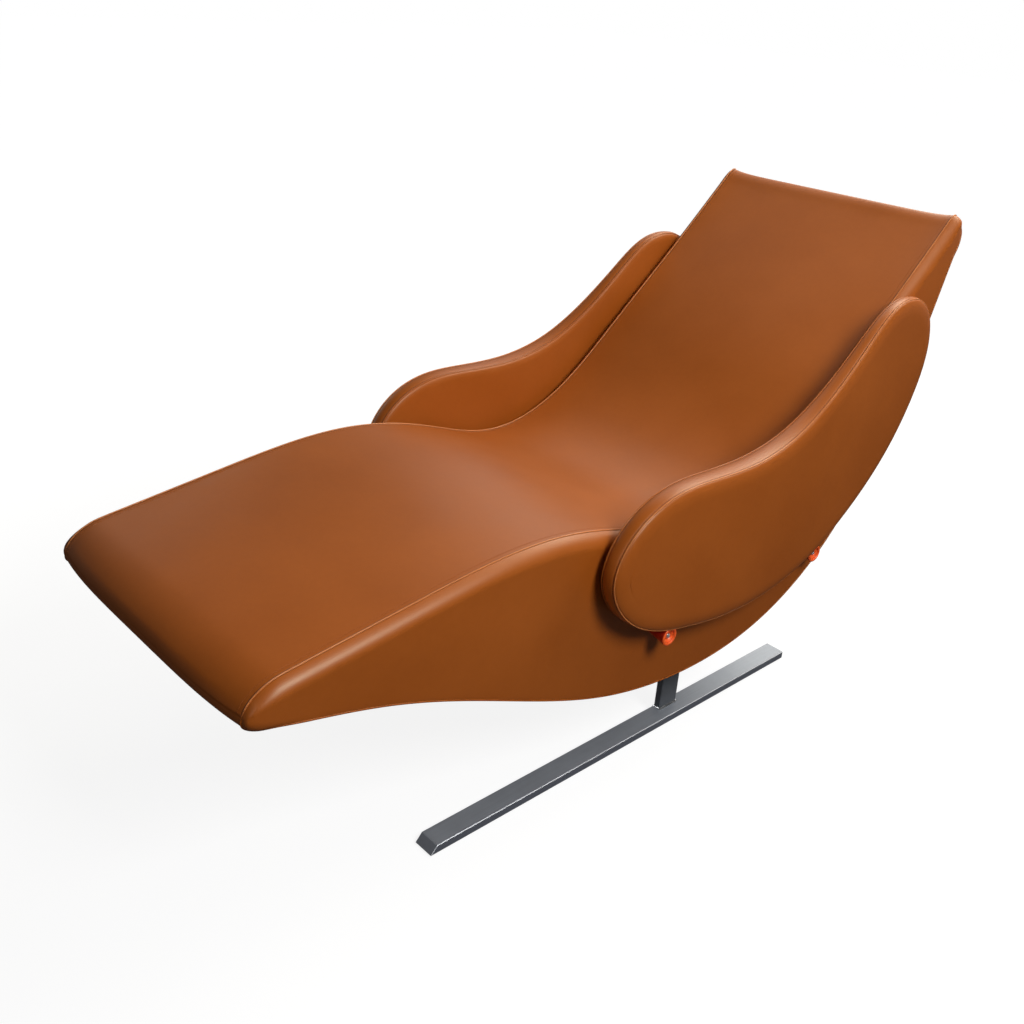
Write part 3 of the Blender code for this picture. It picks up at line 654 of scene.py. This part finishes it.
def cut_upright_slots(cover):
    """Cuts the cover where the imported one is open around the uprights."""
    swing_back = math.tan(math.radians(max(frame["joints"][0]["range_deg"])))
    swing_forward = math.tan(math.radians(-min(frame["joints"][0]["range_deg"])))
    axle = frame["joints"][0]["pos_m"]
    for hand, side in SIDES:
        low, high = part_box("upright_" + hand)
        drop = axle[2] - BOTTOMS[:, 1].min()
        front = low.y - SLOT_CLEARANCE - drop * swing_forward
        rear = high.y + SLOT_CLEARANCE + drop * swing_back
        inner = min(abs(low.x), abs(high.x)) - SLOT_CLEARANCE
        outer = max(abs(low.x), abs(high.x)) + SLOT_OUTER_CLEARANCE
        bpy.ops.mesh.primitive_cube_add(size=1)
        cutter = bpy.context.object
        cutter.scale = (outer - inner, rear - front, SLOT_CUT_HEIGHT)
        cutter.location = (side * (inner + outer) / 2, (front + rear) / 2, BOTTOMS[:, 1].min())
        bpy.context.view_layer.update()
        boolean = cover.modifiers.new("slot_" + hand, "BOOLEAN")
        boolean.operation = "DIFFERENCE"
        boolean.object = cutter
        bpy.context.view_layer.objects.active = cover
        bpy.ops.object.modifier_apply(modifier=boolean.name)
        bpy.data.objects.remove(cutter, do_unlink=True)
    cover.data.shade_smooth()
    cover.data.set_sharp_from_angle(angle=math.radians(SMOOTH_ANGLE_DEG))


def make_crease_shadow_cord(hand, side):
    """A dark cord in the crease on the inner side of the welt, drawn with the sewing thread's material: painted
    shade of the crease.
    """
    x = side * (SEAM_X - CREASE_SHADOW_FROM_SEAM)
    crease = seam_profile(CREASE_SHADOW_FROM_SEAM)
    points = []
    for i, t in enumerate(RIB_T):
        height = (crease + crown_at(t, x / SEAM_X)) * DETAIL[i]
        points.append(lay(x, bowed(TOPS, i, x), TOP_NORMALS[i], height))
    return tube("crease_shadow_cord_" + hand, points, CREASE_SHADOW_RADIUS * TAPER, sides=6)


def make_body_thread(hand, side):
    x = side * (SEAM_X - STITCH_FROM_SEAM)
    share = x / SEAM_X
    points = []
    normals = []
    for i, t in enumerate(RIB_T):
        height = (seam_profile(STITCH_FROM_SEAM) + crown_at(t, share)) * DETAIL[i] + STITCH_LIFT
        points.append(lay(x, bowed(TOPS, i, x), TOP_NORMALS[i], height))
        normals.append((0, *TOP_NORMALS[i]))
    return thread("body_thread_" + hand, points, normals)


# Armrests


def arm_outline():
    """Even (Y, Z) places around the armrest's seam, from the tip in front over the top."""
    line = smooth_line(ARM_LINE * 3)
    wrap = len(ARM_LINE)
    start = wrap + ARM_FRONT_TIP
    fine = np.array([line(start + i * wrap / ARM_FINE_STEPS) for i in range(ARM_FINE_STEPS + 1)])
    return spread_evenly(fine, ARM_POINTS + 1)[:-1]


ARM_OUTLINE = arm_outline()
ARM_ALONG = np.roll(ARM_OUTLINE, -1, axis=0) - np.roll(ARM_OUTLINE, 1, axis=0)
ARM_ALONG /= np.linalg.norm(ARM_ALONG, axis=1)[:, None]
ARM_INWARD = np.stack([ARM_ALONG[:, 1], -ARM_ALONG[:, 0]], axis=1)


def arm_x(x, y):
    """The X at y of a layer of the armrest: the inner ones splay and bulge, the outer ones lean in."""
    outward = np.clip((x - ARM_INNER_SEAM_X) / ARM_BAND, 0, 1)
    splay = ARM_INNER_SPLAY * (ARM_SPLAY_Y - y) - ARM_INNER_BULGE * bump(y, ARM_BULGE_Y, ARM_BULGE_REACH)
    lean = ARM_LEAN * (1 - np.exp(-((np.abs(y - ARM_LEAN_Y) / ARM_LEAN_REACH) ** 3)))
    return x + splay * (1 - outward) - lean * outward


def arm_ring(side, x, inset, to_middle=0.0, seed=None):
    """A ring around the armrest at x, drawn in by inset and then towards the line along its middle."""
    places = ARM_OUTLINE + ARM_INWARD * inset
    partner = np.roll(places[::-1], 1, axis=0)
    middle = (places + partner) / 2
    places = places + (middle - places) * to_middle
    xs = arm_x(x, places[:, 0])
    if seed is not None:
        xs = xs + np.array([waves(y, z, seed) for y, z in places]) * ease(to_middle * ARM_WAVE_GAIN)
    return np.stack([side * xs, places[:, 0], places[:, 1]], axis=1)


def band_height(across):
    """How far the band stands out of the outline at a distance across it from the inner seam."""
    share = across / ARM_BAND
    swell = ARM_BAND_SWELL * 4 * share * (1 - share)
    height = swell
    for distance in (across, ARM_BAND - across):
        height = height - ARM_CREASE * bump(distance, 0, ARM_CREASE_WIDTH)
        height = height - ARM_STITCH_GROOVE * bump(distance, ARM_STITCH_FROM_SEAM, STITCH_GROOVE_WIDTH)
    return height


def arm_sections():
    """Sections of the armrest, inner face to outer: x, inset, share of the way to the middle, and waves."""
    inner_face = ARM_INNER_SEAM_X - ARM_FACE_BEHIND_SEAM
    sections = [(inner_face, ARM_INNER_ROLL, share, True) for share in ARM_FACE_SHARES]
    for turn in np.linspace(math.pi / 2, ARM_FIRST_TURN, 10):
        x = ARM_INNER_SEAM_X - ARM_FACE_BEHIND_SEAM * math.sin(turn)
        sections.append((x, ARM_INNER_ROLL * (1 - math.cos(turn)) + ARM_SEAM_STEP, 0, False))
    ends = np.array(ARM_COLUMNS_MM) / 1000
    places = np.concatenate([ends, [ARM_BAND / 2], (ARM_BAND - ends)[::-1]])
    for across in places:
        sections.append((ARM_INNER_SEAM_X + across, -band_height(across), 0, False))
    outer_seam = ARM_INNER_SEAM_X + ARM_BAND
    for turn in np.linspace(ARM_FIRST_TURN, math.pi / 2, 14):
        x = outer_seam + ARM_CROWN * math.sin(turn)
        sections.append((x, ARM_ROLL * (1 - math.cos(turn)) + ARM_SEAM_STEP, 0, False))
    outer_face = outer_seam + ARM_CROWN
    sections += [(outer_face, ARM_ROLL, share, True) for share in reversed(ARM_FACE_SHARES)]
    return sections


def make_arm_leather(hand, side):
    rings = []
    for x, inset, to_middle, wavy in arm_sections():
        rings.append(arm_ring(side, x, inset, to_middle, ARM_SEED + side if wavy else None))
    return grid_piece("arm_leather_" + hand, rings, caps=False)


def make_arm_welt(name, side, across):
    ring = arm_ring(side, ARM_INNER_SEAM_X + across, ARM_CREASE * 0.5 - WELT_RISE)
    return tube(name, np.vstack([ring, ring[:1]]), ARM_WELT_RADIUS)


def make_arm_thread(name, side, across):
    inset = -band_height(across) - STITCH_LIFT
    ring = arm_ring(side, ARM_INNER_SEAM_X + across, inset)
    points = np.vstack([ring, ring[:1]])
    outward = np.hstack([np.zeros((len(ring), 1)), -ARM_INWARD])
    return thread(name, points, np.vstack([outward, outward[:1]]))


# Pegs and their screws


def turned(name, profile, side, x, y, z, corners=None):
    """A turned piece along X. The profile holds (radius, distance outward from x) all round its section."""
    rings = []
    for step in range(TURN_STEPS):
        turn = 2 * math.pi * step / TURN_STEPS
        ring = []
        for k, (radius, distance) in enumerate(profile):
            if corners and k in corners:
                sector = math.pi / 3
                radius = radius / math.cos((turn % sector) - sector / 2)
            ring.append((side * (x + distance), y + radius * math.cos(turn), z + radius * math.sin(turn)))
        rings.append(ring)
    return grid_piece(name, rings, close_rows=True)


def make_peg(name, hand, side):
    """A conical peg with a thick round rim and a funnel down to its screw."""
    low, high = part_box(f"{name}_peg_{hand}")
    y = (low.y + high.y) / 2
    z = (low.z + high.z) / 2
    foot = min(abs(low.x), abs(high.x))
    rim = max(abs(low.x), abs(high.x)) - foot
    radius = (high.z - low.z) / 2 * PEG_RIM_SPREAD
    floor = rim - PEG_DISH_DEPTH
    profile = [(PEG_BORE_RADIUS, floor), (PEG_FLOOR_RADIUS, floor)]
    profile.append((PEG_FLOOR_EDGE_RADIUS, floor + PEG_FLOOR_EDGE_RISE))
    spread = radius - 2 * PEG_BEAD - PEG_FUNNEL_RADIUS
    for share in (0.15, 0.4, 0.65, 0.9):
        funnel = PEG_FUNNEL_RADIUS + spread * share**PEG_FUNNEL_FLARE
        profile.append((funnel, floor + PEG_FUNNEL_START + PEG_FUNNEL_RISE * share))
    ring = radius - PEG_BEAD
    first_turn, last_turn = PEG_BEAD_TURNS
    for turn in np.linspace(first_turn, last_turn, 12):
        profile.append((ring + PEG_BEAD * math.cos(turn), rim - PEG_BEAD + PEG_BEAD * math.sin(turn)))
    start = ring + PEG_BEAD * math.cos(last_turn)
    cone_top = rim - PEG_CONE_DROP
    for share in (0.15, 0.35, 0.55, 0.75, 0.9, 1.0):
        cone = start + (PEG_NECK_RADIUS - start) * share**PEG_NECK_FLARE
        profile.append((cone, cone_top + (PEG_NECK_LENGTH - cone_top) * share))
    profile += [(PEG_NECK_RADIUS, 0), (PEG_BORE_RADIUS, 0)]
    return turned(f"peg_{name}_{hand}", profile, side, foot, y, z)


def make_screw(name, hand, side):
    low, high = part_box(f"{name}_peg_screw_{hand}")
    y = (low.y + high.y) / 2
    z = (low.z + high.z) / 2
    foot = min(abs(low.x), abs(high.x))
    top = max(abs(low.x), abs(high.x)) - foot
    head = (high.z - low.z) / 2
    socket = SCREW_SOCKET_RADIUS
    socket_floor = top - SCREW_SOCKET_DEPTH
    wider, deeper = SCREW_SOCKET_BEVEL
    profile = [(AXIS_RADIUS, socket_floor), (socket, socket_floor)]
    profile += [(socket, top - deeper), (socket + wider, top)]
    edge = SCREW_HEAD_ROUND
    for turn in np.linspace(0, math.pi / 2, 7):
        profile.append((head - edge + edge * math.sin(turn), top - edge + edge * math.cos(turn)))
    below = top - SCREW_HEAD_HEIGHT
    profile += [(head, below), (SCREW_SHANK_RADIUS, below), (SCREW_SHANK_RADIUS, 0), (AXIS_RADIUS, 0)]
    return turned(f"peg_screw_{name}_{hand}", profile, side, foot, y, z, corners=(1, 2))


# Weld beads between uprights and runners


def make_weld(hand, side):
    """A rippled fillet round the foot of an upright."""
    low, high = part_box("upright_" + hand)
    points = []
    sizes = ((high.x - low.x) / 2, (high.y - low.y) / 2)
    middle = ((high.x + low.x) / 2, (high.y + low.y) / 2)
    corners = ((1, 1), (-1, 1), (-1, -1), (1, -1))
    for k, (sx, sy) in enumerate(corners):
        nx, ny = corners[(k + 1) % 4]
        for share in np.linspace(0, 1, WELD_STEPS, endpoint=False):
            x = middle[0] + sizes[0] * (sx + (nx - sx) * share)
            y = middle[1] + sizes[1] * (sy + (ny - sy) * share)
            points.append((x, y, low.z + WELD_LIFT))
    points = np.array(points)
    sides = 8
    turns = 2 * math.pi * np.arange(sides) / sides
    up = np.array((0, 0, WELD_FLATNESS))
    rings = []
    for k, point in enumerate(points):
        along = points[(k + 1) % len(points)] - points[k - 1]
        along /= np.linalg.norm(along)
        across = np.cross(along, (0, 0, 1.0))
        uneven = WELD_UNEVENNESS * noise.noise(Vector(point) * WELD_NOISE_SCALE)
        size = WELD_RADIUS * (1 + WELD_RIPPLE * math.sin(k * WELD_RIPPLE_TURN) + uneven)
        rings.append([point + size * (across * math.cos(a) + up * math.sin(a)) for a in turns])
    return grid_piece("weld_" + hand, rings, close_rows=True)


# Materials


def add_node(tree, kind, settings=None, **inputs):
    """A node with its settings and inputs; an input that is a socket is linked."""
    node = tree.nodes.new(kind)
    for name, value in (settings or {}).items():
        setattr(node, name, value)
    for name, value in inputs.items():
        socket = node.inputs[int(name[1:])] if name[0] == "i" and name[1:].isdigit() else node.inputs[name]
        if isinstance(value, bpy.types.NodeSocket):
            tree.links.new(value, socket)
        else:
            socket.default_value = value
    return node


def new_material(name, **constants):
    """A material, its node tree and its shader, with constants set on the shader's own sockets."""
    material = bpy.data.materials.new(name)
    material.use_nodes = True
    tree = material.node_tree
    shader = tree.nodes["Principled BSDF"]
    for socket, value in constants.items():
        shader.inputs[socket.replace("_", " ")].default_value = value
    return material, tree, shader


def mapped(tree, scale):
    coordinates = tree.nodes.new("ShaderNodeTexCoord")
    return add_node(
        tree, "ShaderNodeMapping", Vector=coordinates.outputs["Object"], Scale=scale
    ).outputs["Vector"]


def noise_texture(tree, vector, scale, detail=3.0, rough=0.5):
    node = add_node(tree, "ShaderNodeTexNoise", Vector=vector, Scale=scale, Detail=detail, Roughness=rough)
    return node.outputs["Fac"]


def remap(tree, value, low, high, new_low, new_high):
    inputs = {"i0": value, "i1": low, "i2": high, "i3": new_low, "i4": new_high}
    return add_node(tree, "ShaderNodeMapRange", **inputs).outputs[0]


def colour_between(tree, factor, first, second):
    ramp = tree.nodes.new("ShaderNodeValToRGB")
    ramp.color_ramp.elements[0].color = (*first, 1)
    ramp.color_ramp.elements[1].color = (*second, 1)
    tree.links.new(factor, ramp.inputs["Fac"])
    return ramp.outputs["Color"]


def mixed_colour(tree, factor, first, second):
    inputs = {"i0": factor, "i6": first, "i7": second}
    return add_node(tree, "ShaderNodeMix", {"data_type": "RGBA"}, **inputs).outputs[2]


def bumped(tree, shader, layers):
    """Chains bump layers, each (height socket, strength, distance), into the shader's normal."""
    normal = None
    for height, strength, distance in layers:
        node = add_node(tree, "ShaderNodeBump", Height=height, Strength=strength, Distance=distance)
        if normal is not None:
            tree.links.new(normal, node.inputs["Normal"])
        normal = node.outputs["Normal"]
    tree.links.new(normal, shader.inputs["Normal"])


def leather_material(name, light, dark, roughness):
    """Smooth full grain leather: fine grain cells, pores, cloudy colour and a satin finish."""
    material, tree, shader = new_material(name, Specular_IOR_Level=0.50, Specular_Tint=(1.0, 0.96, 0.76, 1.0))
    vector = mapped(tree, (1, 1, 1))
    clouds = noise_texture(tree, vector, 5.0, 4.0, 0.55)
    mottle = noise_texture(tree, vector, 90.0, 3.0, 0.6)
    mixed = add_node(tree, "ShaderNodeMath", {"operation": "MULTIPLY_ADD"}, i0=mottle, i1=0.35, i2=clouds)
    factor = remap(tree, mixed.outputs[0], 0.42, 0.92, 0.0, 1.0)
    tree.links.new(colour_between(tree, factor, dark, light), shader.inputs["Base Color"])
    rough = remap(tree, clouds, 0.3, 0.7, roughness - 0.04, roughness + 0.05)
    tree.links.new(rough, shader.inputs["Roughness"])
    cells = add_node(tree, "ShaderNodeTexVoronoi", {"feature": "SMOOTH_F1"}, Vector=vector, Scale=820.0)
    grain = cells.outputs["Distance"]
    wrinkles = noise_texture(tree, vector, 260.0, 5.0, 0.6)
    bumped(tree, shader, ((grain, 0.10, 0.0004), (wrinkles, 0.08, 0.0006)))
    return material


def thread_material(name, dark, light):
    material, tree, shader = new_material(name, Roughness=0.55, Specular_IOR_Level=0.3)
    vector = mapped(tree, (1, 1, 1))
    twist = noise_texture(tree, vector, 900.0, 2.0)
    tree.links.new(colour_between(tree, twist, dark, light), shader.inputs["Base Color"])
    bumped(tree, shader, ((twist, 0.3, 0.0002),))
    return material


def steel_material(name, dark, light, roughness, streak_scale):
    """Steel brushed along one way: long fine streaks in colour, roughness and height."""
    material, tree, shader = new_material(name, Metallic=1.0)
    vector = mapped(tree, streak_scale)
    streaks = noise_texture(tree, vector, 1.0, 4.0, 0.65)
    stains = noise_texture(tree, mapped(tree, (1, 1, 1)), 14.0, 3.0)
    both = add_node(tree, "ShaderNodeMath", {"operation": "MULTIPLY_ADD"}, i0=stains, i1=0.35, i2=streaks)
    factor = remap(tree, both.outputs[0], 0.40, 0.95, 0.0, 1.0)
    tree.links.new(colour_between(tree, factor, dark, light), shader.inputs["Base Color"])
    rough = remap(tree, streaks, 0.25, 0.75, roughness - 0.07, roughness + 0.09)
    tree.links.new(rough, shader.inputs["Roughness"])
    bumped(tree, shader, ((streaks, 0.10, 0.0004),))
    return material


def lacquer_material(name, dark, light, coat):
    material, tree, shader = new_material(name, Coat_Weight=coat, Coat_Roughness=0.12)
    vector = mapped(tree, (1, 1, 1))
    clouds = noise_texture(tree, vector, 40.0, 3.0)
    tree.links.new(colour_between(tree, clouds, dark, light), shader.inputs["Base Color"])
    tree.links.new(remap(tree, clouds, 0.3, 0.7, 0.30, 0.42), shader.inputs["Roughness"])
    bumped(tree, shader, ((noise_texture(tree, vector, 350.0, 2.0), 0.05, 0.0003),))
    return material


def grained_material(name, dark, light, scale, roughness, height):
    """Wood, webbing, rubber or nylon: colour and height from one stretched noise."""
    material, tree, shader = new_material(name, Specular_IOR_Level=0.35)
    vector = mapped(tree, scale)
    grain = noise_texture(tree, vector, 1.0, 6.0, 0.6)
    tree.links.new(colour_between(tree, grain, dark, light), shader.inputs["Base Color"])
    rough = remap(tree, grain, 0.3, 0.7, roughness - 0.08, roughness + 0.08)
    tree.links.new(rough, shader.inputs["Roughness"])
    bumped(tree, shader, ((grain, 0.4, height),))
    return material


def paint(obj, material):
    obj.data.materials.clear()
    obj.data.materials.append(material)


# Stage


def make_camera():
    data = bpy.data.cameras.new("camera")
    data.lens = CAMERA_LENS_MM
    data.sensor_width = SENSOR_MM
    camera = bpy.data.objects.new("camera", data)
    turn = Matrix((CAMERA_RIGHT, CAMERA_UP, CAMERA_BACK)).transposed()
    camera.matrix_world = Matrix.Translation(CAMERA_PLACE) @ turn.to_4x4()
    bpy.context.scene.collection.objects.link(camera)
    bpy.context.scene.camera = camera


def math_node(tree, operation, *inputs):
    """The output of a math node; an input that is a socket is linked."""
    sockets = {f"i{k}": value for k, value in enumerate(inputs)}
    return add_node(tree, "ShaderNodeMath", {"operation": operation}, **sockets).outputs[0]


def seen_in_mirrors(path):
    """1 for rays off glossy surfaces or through clear ones."""
    glossy = path.outputs["Is Glossy Ray"]
    return math_node(path.id_data, "MAXIMUM", glossy, path.outputs["Is Transmission Ray"])


def make_floor():
    """A floor that keeps the lounger's shadow, white to the camera further out, and dim in mirrors."""
    bpy.ops.mesh.primitive_plane_add(size=FLOOR_SIZE, location=(0, 0, -FLOOR_DROP))
    floor = bpy.context.object
    floor.name = "floor"
    material, tree, shader = new_material("pale_floor", Roughness=0.9, Specular_IOR_Level=0.0)
    shader.inputs["Emission Color"].default_value = (1, 1, 1, 1)
    coordinates = tree.nodes.new("ShaderNodeTexCoord")
    distance = add_node(
        tree, "ShaderNodeVectorMath", {"operation": "LENGTH"}, i0=coordinates.outputs["Object"]
    ).outputs["Value"]
    path = tree.nodes.new("ShaderNodeLightPath")
    seen = remap(tree, distance, FLOOR_NEAR, FLOOR_FAR, FLOOR_GLOW, 1.0)
    reach = (FLOOR_NEAR_IN_MIRRORS, FLOOR_FAR_IN_MIRRORS)
    mirrored = remap(tree, distance, *reach, FLOOR_GLOW_IN_MIRRORS, STUDIO_IN_MIRRORS)
    seen = math_node(tree, "MULTIPLY", seen, path.outputs["Is Camera Ray"])
    in_mirrors = seen_in_mirrors(path)
    strength = math_node(tree, "MULTIPLY_ADD", mirrored, in_mirrors, seen)
    tree.links.new(strength, shader.inputs["Emission Strength"])
    lit = (FLOOR_SHADE, FLOOR_SHADE, FLOOR_SHADE)
    tree.links.new(colour_between(tree, in_mirrors, lit, (0, 0, 0)), shader.inputs["Base Color"])
    paint(floor, material)


def make_world():
    """A studio, white to the camera. Mirrors see it dim and slightly warm, and brighter on one side."""
    world = bpy.data.worlds.new("studio")
    bpy.context.scene.world = world
    world.use_nodes = True
    tree = world.node_tree
    path = tree.nodes.new("ShaderNodeLightPath")
    in_mirrors = seen_in_mirrors(path)
    coordinates = tree.nodes.new("ShaderNodeTexCoord")
    way = coordinates.outputs["Generated"]
    behind = add_node(
        tree, "ShaderNodeVectorMath", {"operation": "DOT_PRODUCT"}, i0=way, i1=BACKDROP_WAY
    ).outputs["Value"]
    more = (ROOM_IN_MIRRORS - WORLD_AMBIENT, STUDIO_IN_MIRRORS - WORLD_AMBIENT)
    mirrored = remap(tree, behind, BACKDROP_START, BACKDROP_FULL, *more)
    rest = math_node(tree, "MULTIPLY_ADD", in_mirrors, mirrored, WORLD_AMBIENT)
    strength = math_node(tree, "MAXIMUM", rest, path.outputs["Is Camera Ray"])
    background = tree.nodes["Background"]
    colour = colour_between(tree, path.outputs["Is Camera Ray"], WARM_STUDIO, (1, 1, 1))
    tree.links.new(colour, background.inputs["Color"])
    tree.links.new(strength, background.inputs["Strength"])


def make_lights():
    target = Vector(LAMP_TARGET)
    for name, azimuth, elevation, watts, width in LAMPS:
        around = math.radians(azimuth)
        up = math.radians(elevation)
        level = math.cos(up)
        away = Vector((math.cos(around) * level, math.sin(around) * level, math.sin(up)))
        data = bpy.data.lights.new(name, "AREA")
        data.size = width
        data.energy = watts
        if name in WARM_LAMPS:
            data.color = WARM_LIGHT
        lamp = bpy.data.objects.new(name, data)
        lamp.location = target + away * LAMP_DISTANCE
        lamp.rotation_euler = (-away).to_track_quat("-Z", "Y").to_euler()
        bpy.context.scene.collection.objects.link(lamp)


# The object


def dress_upholstery():
    leather = leather_material("cognac_leather_skin", (0.345, 0.0835, 0.0080), (0.296, 0.0690, 0.0060), 0.42)
    # Paler leather for the welts: partly the real lightening of leather stretched over a fold, partly a painted
    # highlight on the seam ridge
    edge = leather_material("folded_leather_and_highlight_skin", (0.52, 0.170, 0.048), (0.45, 0.137, 0.034), 0.36)
    # The underside cover is a darker copy of the leather: painted shade under the body
    under = leather_material("underside_leather_skin", (0.27, 0.070, 0.010), (0.22, 0.055, 0.007), 0.52)
    yarn = thread_material("sewing_thread", (0.07, 0.020, 0.006), (0.16, 0.05, 0.015))
    pale_yarn = thread_material("leather_thread", (0.24, 0.060, 0.008), (0.34, 0.090, 0.014))
    add_piece(make_lying_leather(), leather, ("lying_pad",))
    add_piece(make_underside_leather(), under, ("underside_cover",))
    for hand, side in SIDES:
        panel = make_side_leather(hand, side)
        add_piece(panel, leather, ("side_panel_" + hand,))
        add_piece(make_piping(hand, side), leather)
        add_piece(make_welt(hand, side), edge)
        # Painted shade: a dark cord where the crease inside the welt is in shadow
        add_piece(make_crease_shadow_cord(hand, side), yarn)
        add_piece(make_body_thread(hand, side), pale_yarn)
        covered = ("arm_pad_" + hand, "arm_board_" + hand)
        add_piece(make_arm_leather(hand, side), leather, covered)
        for name, across in (("inner", ARM_STITCH_FROM_SEAM), ("outer", ARM_BAND - ARM_STITCH_FROM_SEAM)):
            stitches = make_arm_thread(f"arm_thread_{name}_{hand}", side, across)
            add_piece(stitches, yarn)
        for name, across in (("inner", 0), ("outer", ARM_BAND)):
            # Only the outer arm welts take the paler leather: a painted highlight along the outer seam
            folded = edge if name == "outer" else leather
            add_piece(make_arm_welt(f"arm_welt_{name}_{hand}", side, across), folded)


def add_piece(piece, material, nodes=(), body="rocker"):
    paint(piece, material)
    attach(piece, body)
    if nodes:
        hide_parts(*nodes)


def dress_pegs():
    dish = lacquer_material("orange_lacquer", (0.84, 0.100, 0.014), (0.93, 0.130, 0.020), 0.25)
    # A darker red copy of the lacquer for the cone: painted shade
    cone = lacquer_material("painted_shade_red_lacquer", (0.42, 0.012, 0.003), (0.52, 0.018, 0.004), 0.15)
    bright = steel_material(
        "bright_steel_skin", (0.75, 0.80, 0.85), (0.92, 0.95, 0.98), 0.34, (300, 300, 300)
    )
    for hand, side in SIDES:
        for name in ("front", "rear"):
            peg = make_peg(name, hand, side)
            add_piece(peg, dish, (f"{name}_peg_{hand}",))
            # Faces turned away from the outside take the darker copy: painted shade
            peg.data.materials.append(cone)
            for face in peg.data.polygons:
                face.material_index = int(face.normal.x * side < CONE_FACING)
            add_piece(make_screw(name, hand, side), bright, (f"{name}_peg_screw_{hand}",))


def base_steel_material(name, top, side, streak_scale):
    """Satin steel with long fine streaks. Faces that look up get the paler top colour and the sides the darker
    one, a painted reflection, and the edges between them a pale colour, a painted highlight.
    """
    material, tree, shader = new_material(name, Metallic=BASE_METALLIC, Specular_IOR_Level=0.4)
    streaks = noise_texture(tree, mapped(tree, streak_scale), 1.0, 4.0, 0.65)
    stains = noise_texture(tree, mapped(tree, (1, 1, 1)), 22.0, 4.0, 0.6)
    both = math_node(tree, "MULTIPLY_ADD", stains, 0.8, streaks)
    factor = remap(tree, both, 0.55, 1.25, 0.0, 1.0)
    pale = colour_between(tree, factor, [c * 0.82 for c in top], top)
    deep = colour_between(tree, factor, [c * 0.85 for c in side], side)
    # Painted reflection: the paler colour on faces that look up, the darker one on the sides
    normal = tree.nodes.new("ShaderNodeTexCoord").outputs["Normal"]
    parts = add_node(tree, "ShaderNodeSeparateXYZ", Vector=normal)
    upward = parts.outputs["Z"]
    facing = remap(tree, upward, 0.35, 0.95, 0.0, 1.0)
    blend = mixed_colour(tree, facing, deep, pale)
    # Painted highlight: the pale edge colour where a face turns from up to sideways
    sideways = math_node(tree, "ABSOLUTE", parts.outputs["X"])
    painted_edge_highlight = remap(tree, math_node(tree, "MULTIPLY", sideways, upward), 0.12, 0.40, 0.0, 1.0)
    tree.links.new(mixed_colour(tree, painted_edge_highlight, blend, BASE_EDGE_HIGHLIGHT_COLOUR), shader.inputs["Base Color"])
    rough = remap(tree, both, 0.5, 1.3, 0.34, 0.50)
    tree.links.new(rough, shader.inputs["Roughness"])
    bumped(tree, shader, ((streaks, 0.04, 0.0003),))
    return material


def soften_edges(node, width):
    bevel = node.modifiers.new("soft_edges", "BEVEL")
    bevel.width = width
    bevel.segments = BEVEL_SEGMENTS
    bevel.limit_method = "ANGLE"
    bevel.angle_limit = math.radians(BEVEL_ANGLE_DEG)
    bevel.harden_normals = True


def dress_base():
    # The paler tops and darker sides of the runners and uprights are painted reflection
    runner = base_steel_material(
        "runner_steel_skin", (0.375, 0.405, 0.455), (0.225, 0.240, 0.290), (420, 5, 420)
    )
    upright = base_steel_material(
        "upright_steel_skin", (0.22, 0.23, 0.25), (0.150, 0.160, 0.178), (420, 420, 6)
    )
    weld = steel_material("weld_skin", (0.45, 0.46, 0.48), (0.75, 0.76, 0.78), 0.30, (200, 200, 200))
    for hand, side in SIDES:
        for name, material in (("runner_", runner), ("upright_", upright)):
            node = frame["nodes"][name + hand]
            paint(node, material)
            soften_edges(node, BASE_EDGE)
        add_piece(make_weld(hand, side), weld, body="base")


def dress_inner_pieces():
    """Materials for the pieces inside the body, which show only through the slots below."""
    by_slot = {
        "plywood": grained_material(
            "plywood_skin", (0.42, 0.27, 0.13), (0.62, 0.44, 0.25), (60, 6, 60), 0.6, 0.0006
        ),
        "webbing": grained_material(
            "webbing_skin", (0.05, 0.045, 0.04), (0.14, 0.12, 0.10), (30, 400, 400), 0.85, 0.0008
        ),
        "bright_steel": steel_material(
            "turned_steel_skin", (0.50, 0.52, 0.55), (0.74, 0.76, 0.79), 0.26, (500, 40, 40)
        ),
        "nylon": grained_material(
            "nylon_skin", (0.70, 0.68, 0.62), (0.82, 0.80, 0.74), (90, 90, 90), 0.5, 0.0003
        ),
        "rubber": grained_material(
            "rubber_skin", (0.012, 0.012, 0.012), (0.030, 0.030, 0.032), (260, 260, 260), 0.8, 0.0005
        ),
    }
    for row in frame["record"]["subparts"]:
        if row["material_slot"] in by_slot:
            node = frame["nodes"][row["node"]]
            if not node.hide_render:
                paint(node, by_slot[row["material_slot"]])


bpy.context.scene.view_settings.view_transform = "Standard"
make_camera()
make_world()
make_floor()
make_lights()
dress_upholstery()
dress_pegs()
dress_base()
dress_inner_pieces()
